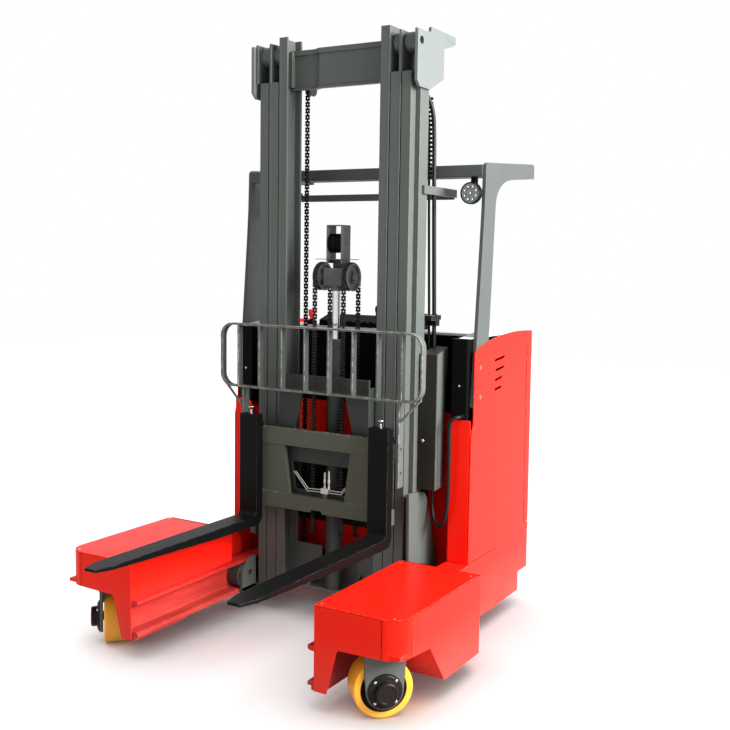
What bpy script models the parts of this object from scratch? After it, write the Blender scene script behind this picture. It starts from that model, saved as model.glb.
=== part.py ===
"""A stand-on multidirectional reach truck, forks towards -Y, the operator's step towards +Y.

The truck's left side is at +X. Sizes are in metres and the ground is at z = 0.
Each piece is drawn where it stands at rest, and an empty on each joint's axis carries the pieces that move.
"""

import math

import bmesh
import bpy
from mathutils import Matrix, Vector

SIDES = (("left", 1), ("right", -1))
SEAT = 0.0003  # clearance between pieces that rest on each other
RUN = 0.005  # clearance between pieces that slide past each other
SHEET = 0.006  # folded sheet of the body and of the outriggers

# Outriggers: hollow boxes over the load wheels, with the reach rails on their inner sides.
ARM_OUTER = 0.908
ARM_INNER = 0.504
ARM_FRONT = -0.703
ARM_TOP = 0.456
ARM_BOTTOM = 0.090
ARM_REAR = 0.028
ARM_SKIRT = 0.290  # lower edge of the box over the load wheel
ARM_CORNER = 0.085
LID_REAR = 0.0
NOTCH_APEX = (-0.454, 0.273)
NOTCH_FOOT = -0.317
LEG_TOP_WIDTH = 0.110
LEG_FOOT_WIDTH = 0.060
DECK_TOP = 0.385

# Reach rails: channels that open towards the mast.
RAIL_LIP = 0.468
RAIL_WEB = 0.535
RAIL_LOW = 0.108
RAIL_HIGH = 0.278
RAIL_FLANGE = 0.022
RAIL_WALL = 0.012
RAIL_REAR = 0.475

# Body of the truck.
BODY_HALF = 0.7125
BODY_FRONT = 0.311
BODY_REAR = 1.068
BODY_REAR_TOP = 1.049
PANEL_FOOT = 0.391
PANEL_FRONT_TOP = 1.432
PANEL_REAR_TOP = 1.485
SKIRT_BOTTOM = 0.085
SKIRT_STEP_Y = 0.947
SKIRT_STEP_Z = 0.187
RECESS_HALF = BODY_HALF - 0.1205
RECESS_BACK = 0.480
WALL_TOP = 1.090
CONSOLE_TOP = 1.478
CONSOLE_REAR = 0.655
WING_REAR = 0.800  # rear end of the console's arms beside the operator
WING_WIDTH = 0.060
WING_FOOT = 1.300
TOP_PLATE = 0.024
FLOOR_TOP = 0.251
HUMP_INNER = -0.120
HUMP_TOP = 0.610
BATTERY_TOP = 0.980

# Load wheels, each in a yoke that steers about a vertical axis.
LOAD_WHEEL_X = 0.734
LOAD_WHEEL_Y = -0.5585
LOAD_WHEEL_RADIUS = 0.125
LOAD_WHEEL_WIDTH = 0.120
LOAD_TYRE = 0.028
LOAD_AXLE = 0.022
YOKE_PLATE = 0.014
YOKE_HALF = 0.078
TOE = math.radians(45)

# Drive wheel and caster under the operator's end.
DRIVE_X = -0.400
DRIVE_Y = 0.855
DRIVE_RADIUS = 0.150
DRIVE_WIDTH = 0.090
CASTER_X = 0.420
CASTER_Y = 0.800
CASTER_RADIUS = 0.090
CASTER_WIDTH = 0.060
CASTER_TRAIL = 0.045

# Mast: three nested pairs of channels.
MAST_FRONT = 0.160
MAST_DEPTH = 0.130
MAST_FLANGE = 0.012
MAST_WEB = 0.012
MAST_FOOT = 0.135
MAST_TOP = 2.910
POCKET_FOOT = MAST_TOP - 0.190
YOKE_Z = MAST_TOP - 0.729  # the crossbar behind the guard's posts
ROLLER_RADIUS = (MAST_DEPTH - 2 * MAST_FLANGE) / 2 - SEAT
MAST_STAGES = (
    # name, inner edge, outer edge, foot, top
    ("outer", 0.3825, 0.4600, MAST_FOOT, MAST_TOP),
    ("middle", 0.3220, 0.3775, MAST_FOOT + 0.015, MAST_TOP),
    ("inner", 0.2670, 0.3170, MAST_FOOT + 0.025, MAST_TOP + 0.025),
)

# Reach carriage under the mast.
CARRIAGE_PLATE = 0.015
ROLLER_FRONT_Y = 0.085
ROLLER_REAR_Y = 0.405

# Lift cylinders behind the mast rails, and the free-lift cylinder in the middle.
LIFT_CYL_X = 0.352
LIFT_CYL_Y = 0.350
LIFT_CYL_RADIUS = 0.032
LIFT_ROD_RADIUS = 0.018
LIFT_CYL_TOP = MAST_TOP - 0.660
FREE_CYL_Y = 0.220
FREE_CYL_RADIUS = 0.0415
FREE_ROD_RADIUS = 0.021
CHAIN_FOOT = 0.470  # lower end of the front strands
CHAIN_ANCHOR = 0.430  # lower end of the rear strands
SHEAVE_X = 0.084
SHEAVE_Z = 1.759
FREE_CYL_TOP = SHEAVE_Z - 0.309
SHEAVE_RADIUS = 0.0635
CHEEK_Y = (0.190, 0.272)
CHEEK_TOP = SHEAVE_Z + 0.256
PULLEY_Z = SHEAVE_Z + 0.166
PULLEY_RADIUS = 0.048
LIFT_SHEAVE = 0.036
CHAIN_THICK = 0.012
CHAIN_WIDTH = 0.024

# Lift carriage, fork carriage, forks and load backrest.
LIFT_HALF = 0.262
LIFT_FRONT = 0.108
LIFT_PLATE = 0.015
BAR_FRONT = 0.0503
BAR_DEPTH = 0.030
BAR_HALF = 0.430
BAR_TOP = 1.003
BAR_TOP_HEIGHT = 0.085
BAR_FOOT = 0.596
BAR_FOOT_HEIGHT = 0.0765
TILT_Y = 0.094
TILT_Z = 0.960
FORK_X = 0.379
FORK_HALF = 0.054
FORK_SHANK = 0.050
FORK_TOP = 1.0645
BLADE_TOP = 0.546
BLADE_HEEL = 0.050
BLADE_TIP = 0.014
FORK_TIP_Y = -1.068
TAPER_Y = -0.990
TIP_HALF = 0.030
REST_HALF = 0.586
REST_TOP = 1.516
REST_FOOT = 1.190
REST_FRONT = 0.035
REST_DEPTH = 0.040
REST_BAR = 0.010
REST_CORNER = 0.070
REST_SUPPORT_X = 0.462

# Cover on the mast's left side, and the hose loop between it and the console's gland.
COVER_FOOT = 0.745
COVER_TOP = 1.430
GLAND_X = BODY_HALF - 0.0515
GLAND_Z = 1.108
GLAND_FRONT = 0.298
GLAND_RADIUS = 0.015
LOOP_RADIUS = 0.009
HOSE_Y = 0.335  # the hoses' plane behind the cover

# Overhead guard.
GUARD_OUTER = BODY_HALF - SHEET - 0.0005
GUARD_WIDTH = 0.020
GUARD_TOP = 2.356
GUARD_ARM_END = 1.027
LAMP_X = GUARD_OUTER - 0.051
LAMP_Y = 0.352
LAMP_Z = 2.168
LAMP_RADIUS = 0.052


def mesh_object(name, bm):
    """The bmesh as an object, its faces turned outwards."""
    bmesh.ops.recalc_face_normals(bm, faces=bm.faces)
    mesh = bpy.data.meshes.new(name)
    bm.to_mesh(mesh)
    bm.free()
    piece = bpy.data.objects.new(name, mesh)
    bpy.context.scene.collection.objects.link(piece)
    return piece


def prism(outline, along, low, high):
    """A flat outline drawn out along one axis: (y, z) points along x, (x, z) along y, or (x, y) along z."""
    place = {
        "x": lambda a, b, t: (t, a, b),
        "y": lambda a, b, t: (a, t, b),
        "z": lambda a, b, t: (a, b, t),
    }[along]
    bm = bmesh.new()
    face = bm.faces.new([bm.verts.new(place(a, b, low)) for a, b in outline])
    drawn = bmesh.ops.extrude_face_region(bm, geom=[face])["geom"]
    moved = [item for item in drawn if isinstance(item, bmesh.types.BMVert)]
    bmesh.ops.translate(bm, verts=moved, vec=place(0, 0, high - low))
    return mesh_object("prism", bm)


def block(x, y, z):
    """A plain box between pairs of limits."""
    return prism(((x[0], y[0]), (x[1], y[0]), (x[1], y[1]), (x[0], y[1])), "z", z[0], z[1])


def rounded(corners, steps=4):
    """An outline from (a, b, radius) corners, each radius drawn as an arc."""
    points = []
    for index, (a, b, radius) in enumerate(corners):
        here = Vector((a, b))
        if radius <= 0:
            points.append((a, b))
            continue
        before = (Vector(corners[index - 1][:2]) - here).normalized()
        after = (Vector(corners[(index + 1) % len(corners)][:2]) - here).normalized()
        half = before.angle(after) / 2
        centre = here + (before + after).normalized() * radius / math.sin(half)
        first = here + before * radius / math.tan(half) - centre
        last = here + after * radius / math.tan(half) - centre
        turn = first.angle_signed(last)
        for step in range(steps + 1):
            spoke = Matrix.Rotation(-turn * step / steps, 2) @ first
            points.append(tuple(centre + spoke))
    return points


def turned(profile, centre, axis, sides=24, ring=False):
    """A profile of (radius, distance along the axis) points turned about an axis through the centre."""
    bm = bmesh.new()
    points = [bm.verts.new((radius, 0, height)) for radius, height in profile]
    ends = points[1:] + points[:1] if ring else points[1:]
    edges = [bm.edges.new(pair) for pair in zip(points, ends)]
    bmesh.ops.spin(
        bm, geom=points + edges, cent=(0, 0, 0), axis=(0, 0, 1), angle=math.tau, steps=sides, use_merge=True
    )
    bmesh.ops.remove_doubles(bm, verts=bm.verts, dist=1e-6)
    turn = Vector(axis).to_track_quat("Z", "Y").to_matrix().to_4x4()
    bmesh.ops.transform(bm, matrix=Matrix.Translation(centre) @ turn, verts=bm.verts)
    return mesh_object("turned", bm)


def rod(start, end, radius, sides=16):
    """A plain round bar between two points."""
    axis = Vector(end) - Vector(start)
    return turned(((0, 0), (radius, 0), (radius, axis.length), (0, axis.length)), start, axis, sides)


def tube(start, end, radius, bore, sides=16):
    """A round bar with a hole from end to end."""
    axis = Vector(end) - Vector(start)
    length = axis.length
    return turned(((bore, 0), (radius, 0), (radius, length), (bore, length)), start, axis, sides, ring=True)


def smooth_route(points, steps=6):
    """A smooth curve through a route's points."""
    route = []
    for index in range(len(points) - 1):
        a = Vector(points[max(index - 1, 0)])
        b = Vector(points[index])
        c = Vector(points[index + 1])
        d = Vector(points[min(index + 2, len(points) - 1)])
        for step in range(steps):
            t = step / steps
            curve = 2 * b + (c - a) * t + (2 * a - 5 * b + 4 * c - d) * t**2
            route.append((curve + (3 * b - a - 3 * c + d) * t**3) / 2)
    route.append(Vector(points[-1]))
    return route


def hose(name, points, radius, resolution=2):
    """A round hose along a route, as a curve with filled caps."""
    curve = bpy.data.curves.new(name, "CURVE")
    curve.dimensions = "3D"
    curve.bevel_depth = radius
    curve.bevel_resolution = resolution
    curve.use_fill_caps = True
    line = curve.splines.new("POLY")
    line.points.add(len(points) - 1)
    for point, place in zip(line.points, points):
        point.co = (*place, 1)
    piece = bpy.data.objects.new(name, curve)
    bpy.context.scene.collection.objects.link(piece)
    return piece


def hose_mesh(points, radius, resolution=2):
    """A hose as a mesh, ready to be welded to what holds it."""
    piece = hose("hose", points, radius, resolution)
    graph = bpy.context.evaluated_depsgraph_get()
    mesh = bpy.data.meshes.new_from_object(piece.evaluated_get(graph))
    bpy.data.objects.remove(piece)
    solid = bpy.data.objects.new("hose", mesh)
    bpy.context.scene.collection.objects.link(solid)
    return solid


def finish(name, colour, roughness=0.5, metallic=0.0):
    """A paint, rubber or metal finish."""
    material = bpy.data.materials.new(name)
    material.use_nodes = True
    shader = material.node_tree.nodes["Principled BSDF"]
    shader.inputs["Base Color"].default_value = (*colour, 1)
    shader.inputs["Roughness"].default_value = roughness
    shader.inputs["Metallic"].default_value = metallic
    return material


def weld(name, look, adds, cuts=(), carrier=None):
    """One named piece: the shapes joined, the cuts taken away, and the result hung on its joint's empty."""
    piece = adds[0]
    tools = [("UNION", other) for other in adds[1:]]
    tools += [("DIFFERENCE", other) for other in cuts]
    for operation, other in tools:
        modifier = piece.modifiers.new(operation.title(), "BOOLEAN")
        modifier.operation = operation
        modifier.solver = "EXACT"
        modifier.object = other
    graph = bpy.context.evaluated_depsgraph_get()
    mesh = bpy.data.meshes.new_from_object(piece.evaluated_get(graph))
    for shape in list(adds) + list(cuts):
        bpy.data.objects.remove(shape)
    mesh.name = name
    mesh.materials.clear()
    mesh.materials.append(look)
    solid = bpy.data.objects.new(name, mesh)
    bpy.context.scene.collection.objects.link(solid)
    mesh.shade_smooth()
    mesh.set_sharp_from_angle(angle=math.radians(35))
    hang(solid, carrier)
    return solid


def hang(piece, carrier):
    """Parents a piece to its joint's empty and keeps its place."""
    if carrier:
        piece.parent = carrier
        piece.matrix_parent_inverse = carrier.matrix_world.inverted()


def joint_empty(name, place, carrier=None):
    """An empty on a joint's axis."""
    empty = bpy.data.objects.new(name, None)
    empty.empty_display_size = 0.1
    bpy.context.scene.collection.objects.link(empty)
    empty.location = place
    bpy.context.view_layer.update()
    hang(empty, carrier)
    bpy.context.view_layer.update()
    return empty


def mirrored(outline, side):
    """An outline's points with x on the named side."""
    return [(side * a, b) for a, b in outline]


def span(side, low, high):
    """Limits along x, from the middle outwards, on the named side."""
    return (low, high) if side > 0 else (-high, -low)


for leftover in list(bpy.data.objects):
    bpy.data.objects.remove(leftover)

RED = finish("red paint", (0.72, 0.015, 0.01), 0.3)
MAST_GREY = finish("mast paint", (0.075, 0.085, 0.075), 0.45)
BLACK = finish("black paint", (0.012, 0.012, 0.013), 0.4)
STEEL = finish("bright steel", (0.62, 0.62, 0.62), 0.2, 1.0)
CHAIN = finish("oiled chain", (0.02, 0.02, 0.02), 0.4, 0.8)
RUBBER = finish("black rubber", (0.015, 0.015, 0.015), 0.8)
TYRE = finish("yellow polyurethane", (0.80, 0.36, 0.02), 0.4)
HUB = finish("dark hub", (0.03, 0.022, 0.02), 0.4)
PLASTIC = finish("black plastic", (0.012, 0.012, 0.012), 0.5)
LAMP = finish("lamp glass", (0.75, 0.78, 0.78), 0.1)


def outrigger(side_name, side):
    """The box over a load wheel with its notch, its crossplate, its deck and its reach rail."""
    corner = ARM_CORNER
    shell = rounded(
        (
            (ARM_INNER, ARM_FRONT, 0),
            (ARM_OUTER, ARM_FRONT, corner),
            (ARM_OUTER, ARM_REAR, 0),
            (ARM_INNER, ARM_REAR, 0),
        ),
        steps=6,
    )
    hollow = rounded(
        (
            (ARM_INNER + SHEET, ARM_FRONT + SHEET, 0),
            (ARM_OUTER - SHEET, ARM_FRONT + SHEET, corner - SHEET),
            (ARM_OUTER - SHEET, ARM_REAR - SHEET, 0),
            (ARM_INNER + SHEET, ARM_REAR - SHEET, 0),
        ),
        steps=6,
    )
    box = weld(
        "box",
        RED,
        [prism(mirrored(shell, side), "z", ARM_BOTTOM, ARM_TOP)],
        [
            prism(mirrored(hollow, side), "z", ARM_BOTTOM - 0.01, ARM_TOP - SHEET),
            # The side wall's notch behind the wheel, open to the front under the skirt.
            prism(
                (
                    (ARM_FRONT - 0.05, 0.05),
                    (ARM_FRONT - 0.05, ARM_SKIRT),
                    NOTCH_APEX,
                    (NOTCH_FOOT, ARM_BOTTOM),
                    (NOTCH_FOOT + 0.02, 0.05),
                ),
                "x",
                *span(side, ARM_OUTER - 0.1, ARM_OUTER + 0.01),
            ),
            # The front wall ends above the wheel and leaves a leg beside the rail.
            prism(
                mirrored(
                    (
                        (ARM_INNER + LEG_FOOT_WIDTH, 0.05),
                        (ARM_INNER + LEG_TOP_WIDTH, ARM_SKIRT - 0.007),
                        (ARM_OUTER + 0.01, ARM_SKIRT),
                        (ARM_OUTER + 0.01, 0.05),
                    ),
                    side,
                ),
                "y",
                ARM_FRONT - 0.05,
                LOAD_WHEEL_Y - 0.02,
            ),
            # The inner wall stops on the rail, and the rear wall leaves the rail open.
            block(
                span(side, ARM_INNER - 0.01, RAIL_WEB + RAIL_WALL),
                (ARM_REAR - 0.01, ARM_REAR + 0.01),
                (ARM_BOTTOM - 0.01, RAIL_HIGH - 0.01),
            ),
            block(
                span(side, ARM_INNER - 0.01, ARM_INNER + SHEET + 0.01),
                (ARM_FRONT + SHEET, ARM_REAR + 0.01),
                (ARM_BOTTOM - 0.01, RAIL_HIGH - 0.01),
            ),
        ],
    )
    rail = weld(
        "rail",
        RED,
        [
            block(span(side, RAIL_LIP, RAIL_WEB + RAIL_WALL), (ARM_FRONT, RAIL_REAR), (RAIL_LOW, RAIL_HIGH)),
            # A stiffener under the front of the rail, and a shelf that ties its rear to the deck.
            block(
                span(side, RAIL_LIP + 0.02, RAIL_WEB + RAIL_WALL),
                (ARM_FRONT, -0.35),
                (ARM_BOTTOM, RAIL_LOW + 0.01),
            ),
        ],
        [
            block(
                span(side, RAIL_LIP - 0.01, RAIL_WEB),
                (ARM_FRONT + SHEET, RAIL_REAR + 0.01),
                (RAIL_LOW + RAIL_FLANGE, RAIL_HIGH - RAIL_FLANGE),
            )
        ],
    )
    deck_outline = (
        (RECESS_HALF, ARM_REAR - SHEET),
        (ARM_OUTER, ARM_REAR - SHEET),
        (ARM_OUTER, ARM_REAR),
        (BODY_HALF, 0.20),
        (BODY_HALF, BODY_FRONT - SEAT),
        (RECESS_HALF, BODY_FRONT - SEAT),
    )
    deck_hollow = (
        (RECESS_HALF + SHEET, ARM_REAR - 0.03),
        (ARM_OUTER - SHEET, ARM_REAR - 0.03),
        (ARM_OUTER - SHEET, ARM_REAR - 0.003),
        (BODY_HALF - SHEET, 0.20 - 0.003),
        (BODY_HALF - SHEET, BODY_FRONT + 0.1),
        (RECESS_HALF + SHEET, BODY_FRONT + 0.1),
    )
    deck = weld(
        "deck",
        RED,
        [prism(mirrored(deck_outline, side), "z", ARM_BOTTOM, DECK_TOP)],
        [prism(mirrored(deck_hollow, side), "z", ARM_BOTTOM - 0.01, DECK_TOP - SHEET)],
    )
    crossplate = block(
        span(side, RAIL_WEB + RAIL_WALL - 0.01, ARM_OUTER - SHEET / 2),
        (ARM_FRONT + SHEET / 2, NOTCH_APEX[0] + 0.02),
        (0.300, 0.316),
    )
    bulkhead = prism(
        (
            (NOTCH_APEX[0], 0.310),
            (NOTCH_APEX[0], NOTCH_APEX[1]),
            (NOTCH_FOOT, ARM_BOTTOM),
            (NOTCH_FOOT + SHEET, ARM_BOTTOM),
            (NOTCH_APEX[0] + SHEET, NOTCH_APEX[1] + 0.001),
            (NOTCH_APEX[0] + SHEET, 0.310),
        ),
        "x",
        *span(side, RAIL_WEB + RAIL_WALL - 0.005, ARM_OUTER - SHEET / 2),
    )
    shelf = block(
        span(side, RAIL_WEB, RECESS_HALF + 0.003), (ARM_REAR, BODY_FRONT - SEAT), (RAIL_LOW, RAIL_LOW + 0.012)
    )
    bearing = rod(
        (side * LOAD_WHEEL_X, LOAD_WHEEL_Y, 0.292), (side * LOAD_WHEEL_X, LOAD_WHEEL_Y, 0.310), 0.060, 20
    )
    kingpin_hole = rod(
        (side * LOAD_WHEEL_X, LOAD_WHEEL_Y, 0.28), (side * LOAD_WHEEL_X, LOAD_WHEEL_Y, 0.33), 0.024, 24
    )
    weld(
        f"outrigger_{side_name}",
        RED,
        [box, rail, deck, crossplate, bulkhead, shelf, bearing],
        [kingpin_hole],
    )


for side_name, side in SIDES:
    outrigger(side_name, side)


def chassis_frame():
    """The low frame under the body: skirts, operator's floor, cross walls and the reach cylinder's seat."""
    inner = BODY_HALF - SHEET
    parts = []
    for _, side in SIDES:
        skirt = (
            (BODY_FRONT, SKIRT_BOTTOM),
            (SKIRT_STEP_Y, SKIRT_BOTTOM),
            (SKIRT_STEP_Y, SKIRT_STEP_Z),
            (BODY_REAR - 0.001, SKIRT_STEP_Z),
            (BODY_REAR - 0.004, PANEL_FOOT - 0.001),
            (BODY_FRONT, PANEL_FOOT - 0.001),
        )
        parts.append(prism(skirt, "x", *span(side, inner, BODY_HALF)))
        # The rail's rear end is held by a cheek of the frame.
        parts.append(
            block(
                span(side, RECESS_HALF, inner + 0.001),
                (BODY_FRONT, BODY_FRONT + SHEET),
                (SKIRT_BOTTOM, DECK_TOP - SEAT),
            )
        )
        parts.append(
            block(
                span(side, RECESS_HALF, RECESS_HALF + SHEET),
                (BODY_FRONT, RECESS_BACK + 0.003),
                (SKIRT_BOTTOM, DECK_TOP - SEAT),
            )
        )
    floor = block(
        (-inner - 0.001, inner + 0.001), (RECESS_BACK, BODY_REAR - 0.004), (FLOOR_TOP - SHEET, FLOOR_TOP)
    )
    front = block(
        (-inner - 0.001, inner + 0.001), (RECESS_BACK, RECESS_BACK + SHEET), (SKIRT_BOTTOM, DECK_TOP - SEAT)
    )
    bumper = block(
        (-inner - 0.001, inner + 0.001), (BODY_REAR - 0.010, BODY_REAR - 0.004), (SKIRT_STEP_Z, FLOOR_TOP)
    )
    drive_hole = rod((DRIVE_X, DRIVE_Y, 0.2), (DRIVE_X, DRIVE_Y, 0.3), DRIVE_RADIUS + 0.025, 32)
    reach_hole = rod((0, RECESS_BACK - 0.02, 0.190), (0, RECESS_BACK + 0.02, 0.190), 0.036, 16)
    caster_plate = block(
        (CASTER_X - 0.07, CASTER_X + 0.07),
        (CASTER_Y - 0.07, CASTER_Y + 0.07),
        (0.228 + SEAT, FLOOR_TOP - SHEET + 0.001),
    )
    weld("chassis_frame", RED, [*parts, floor, front, bumper, caster_plate], [drive_hole, reach_hole])


chassis_frame()


def recess_outline(front, back, half, inner, side_reach):
    """The plan of a wall round the mast's recess, as (x, y) points: cheeks, then the recess."""
    return (
        (-side_reach, back),
        (-side_reach, front),
        (-half, front),
        (-half, inner),
        (half, inner),
        (half, front),
        (side_reach, front),
        (side_reach, back),
    )


def front_wall():
    """The red folded wall round the mast's recess, from the deck to the console."""
    reach = BODY_HALF - SHEET - SEAT
    outer = recess_outline(BODY_FRONT + SEAT, RECESS_BACK + SHEET, RECESS_HALF, RECESS_BACK, reach)
    hollow = recess_outline(
        BODY_FRONT + SHEET, RECESS_BACK + 0.1, RECESS_HALF + SHEET, RECESS_BACK + SHEET, reach - SHEET
    )
    weld(
        "front_wall",
        RED,
        [prism(outer, "z", DECK_TOP, WALL_TOP)],
        [prism(hollow, "z", DECK_TOP - 0.01, WALL_TOP + 0.01)],
    )


front_wall()


def side_panel(side_name, side):
    """The tall red side panel with its vents."""
    rise = (
        # share of the way back, share of the rise
        (0.12, 0.30),
        (0.28, 0.62),
        (0.50, 0.92),
        (0.72, 1.08),
        (0.88, 1.10),
    )
    top_front = BODY_FRONT + 0.024
    crown = [
        (
            top_front + share * (BODY_REAR_TOP - top_front),
            PANEL_FRONT_TOP + lift * (PANEL_REAR_TOP - PANEL_FRONT_TOP),
        )
        for share, lift in rise
    ]
    outline = [
        (BODY_FRONT, PANEL_FOOT),
        (BODY_FRONT, 0.990),
        (top_front, 1.050),
        (top_front, PANEL_FRONT_TOP),
        *crown,
        (BODY_REAR_TOP, PANEL_REAR_TOP),
        (BODY_REAR, PANEL_FOOT),
    ]
    vents = []
    for z, rear in ((1.365, 0.715), (1.315, 0.705), (1.270, 0.690), (1.225, 0.675)):
        vents.append(
            prism(
                ((0.580, z - 0.012), (rear, z + 0.004), (rear, z + 0.014), (0.580, z - 0.002)),
                "x",
                *span(side, BODY_HALF - 0.02, BODY_HALF + 0.01),
            )
        )
    weld(
        f"side_panel_{side_name}",
        RED,
        [prism(outline, "x", *span(side, BODY_HALF - SHEET, BODY_HALF))],
        vents,
    )


for side_name, side in SIDES:
    side_panel(side_name, side)


def console():
    """The black cover over the recess wall, its top, and the operator's kick panel and floor mat."""
    reach = GUARD_OUTER - GUARD_WIDTH - 2 * SEAT
    outline = recess_outline(
        BODY_FRONT + 0.004, CONSOLE_REAR, RECESS_HALF + 0.002, RECESS_BACK + 0.002, reach
    )
    gland = rod((GLAND_X, GLAND_FRONT, GLAND_Z), (GLAND_X, BODY_FRONT + 0.01, GLAND_Z), GLAND_RADIUS)
    wings = []
    plates = []
    for _, side in SIDES:
        wing = span(side, reach - WING_WIDTH, reach)
        wings.append(block(wing, (CONSOLE_REAR - 0.002, WING_REAR), (WING_FOOT, CONSOLE_TOP)))
        # The pale top plate rises from the cheeks' front edge and runs back over the arms.
        plates.append(
            prism(
                (
                    (BODY_FRONT + 0.020, CONSOLE_TOP + SEAT),
                    (BODY_FRONT + 0.020, CONSOLE_TOP + 0.003),
                    (RECESS_BACK + 0.040, CONSOLE_TOP + TOP_PLATE),
                    (WING_REAR, CONSOLE_TOP + TOP_PLATE),
                    (WING_REAR, CONSOLE_TOP + SEAT),
                ),
                "x",
                *wing,
            )
        )
    shell = prism(outline, "z", WALL_TOP + SEAT, CONSOLE_TOP)
    weld("console_cover", PLASTIC, [shell, gland, *wings])
    middle = block(
        (-reach + 0.001, reach - 0.001),
        (RECESS_BACK + 0.003, CONSOLE_REAR),
        (CONSOLE_TOP + SEAT, CONSOLE_TOP + 0.012),
    )
    weld(
        "console_top",
        PLASTIC,
        [
            middle,
            *plates,
            prism(
                (
                    (RECESS_BACK + 0.03, CONSOLE_TOP + SEAT),
                    (RECESS_BACK + 0.03, CONSOLE_TOP + 0.045),
                    (CONSOLE_REAR - 0.05, CONSOLE_TOP + 0.075),
                    (CONSOLE_REAR, CONSOLE_TOP + 0.060),
                    (CONSOLE_REAR, CONSOLE_TOP + SEAT),
                ),
                "x",
                -0.30,
                0.30,
            ),
            rod((-0.20, 0.56, CONSOLE_TOP + 0.03), (-0.20, 0.56, CONSOLE_TOP + 0.085), 0.014, 12),
            turned(
                ((0, 0), (0.018, 0), (0.022, 0.008), (0.014, 0.018), (0, 0.020)),
                (-0.20, 0.56, CONSOLE_TOP + 0.080),
                (0, 0, 1),
                16,
            ),
            rod((0.02, 0.58, CONSOLE_TOP + 0.03), (0.035, 0.56, CONSOLE_TOP + 0.13), 0.007, 10),
        ],
    )
    inner = BODY_HALF - SHEET - SEAT
    weld(
        "kick_panel",
        BLACK,
        [
            block(
                (-inner, inner), (CONSOLE_REAR - SHEET, CONSOLE_REAR), (FLOOR_TOP + SEAT, WALL_TOP)
            )
        ],
    )
    weld(
        "floor_mat",
        RUBBER,
        [
            block(
                (HUMP_INNER + 0.004, inner - 0.004),
                (CONSOLE_REAR + SEAT, BODY_REAR - 0.02),
                (FLOOR_TOP + SEAT, FLOOR_TOP + 0.010),
            )
        ],
    )
    weld(
        "battery_block",
        BLACK,
        [
            block(
                (-RECESS_HALF - 0.008, RECESS_HALF + 0.008),
                (RECESS_BACK + SHEET + SEAT, CONSOLE_REAR - SHEET - SEAT),
                (FLOOR_TOP + SEAT, BATTERY_TOP),
            )
        ],
    )


console()


def drive_cover():
    """The steel housing over the drive wheel, with the plate that its turntable hangs from."""
    inner = BODY_HALF - SHEET - SEAT
    front = CONSOLE_REAR + SEAT
    rear = BODY_REAR - 0.025
    shell = weld(
        "shell",
        RED,
        [block((-inner, HUMP_INNER), (front, rear), (FLOOR_TOP + SEAT, HUMP_TOP))],
        [
            block(
                (-inner + SHEET, HUMP_INNER - SHEET),
                (front + SHEET, rear - SHEET),
                (FLOOR_TOP - 0.01, HUMP_TOP - SHEET),
            )
        ],
    )
    turntable = block((-inner + 0.002, HUMP_INNER - 0.002), (front + 0.002, rear - 0.002), (0.380, 0.396))
    motor_hole = rod((DRIVE_X, DRIVE_Y, 0.37), (DRIVE_X, DRIVE_Y, 0.41), 0.041, 32)
    weld("drive_cover", RED, [shell, turntable], [motor_hole])


drive_cover()


def guard():
    """The overhead guard: two bent side plates with cross bars, and slats between the arms."""
    profile = (
        (0.338, 1.150),
        (0.421, GUARD_TOP - 0.061),
        (0.440, GUARD_TOP - 0.040),
        (GUARD_ARM_END - 0.02, GUARD_TOP),
        (GUARD_ARM_END, GUARD_TOP - 0.010),
        (GUARD_ARM_END, GUARD_TOP - 0.076),
        (0.758, 2.257),
        (0.650, 2.240),
        (0.585, 2.205),
        (0.545, 2.145),
        (0.499, 1.425),
        (0.482, 1.150),
    )
    inner = GUARD_OUTER - GUARD_WIDTH
    parts = [prism(profile, "x", *span(side, inner, GUARD_OUTER)) for _, side in SIDES]
    front = block((-inner - 0.001, inner + 0.001), (0.418, 0.458), (2.248, 2.307))
    rear = block((-inner - 0.001, inner + 0.001), (0.965, 1.005), (2.290, 2.345))
    slats = []
    for x in (-0.44, -0.22, 0.0, 0.22, 0.44):
        slats.append(
            prism(
                ((0.440, 2.268), (0.440, 2.298), (0.985, 2.340), (0.985, 2.310)),
                "x",
                x - 0.008,
                x + 0.008,
            )
        )
    weld("overhead_guard", MAST_GREY, [parts[0], front, parts[1], rear, *slats])
    weld(
        "work_lamp",
        PLASTIC,
        [
            turned(
                (
                    (0, 0),
                    (LAMP_RADIUS - 0.002, 0),
                    (LAMP_RADIUS, 0.012),
                    (LAMP_RADIUS, 0.026),
                    (0.040, 0.044),
                    (0, 0.048),
                ),
                (LAMP_X, LAMP_Y, LAMP_Z),
                (0, 1, 0),
                24,
            ),
            block((LAMP_X - 0.025, LAMP_X), (0.390, 0.4175), (2.175, 2.195)),
            block((LAMP_X - 0.025, LAMP_X), (0.4095, 0.4177), (2.175, 2.300)),
        ],
    )


guard()


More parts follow.
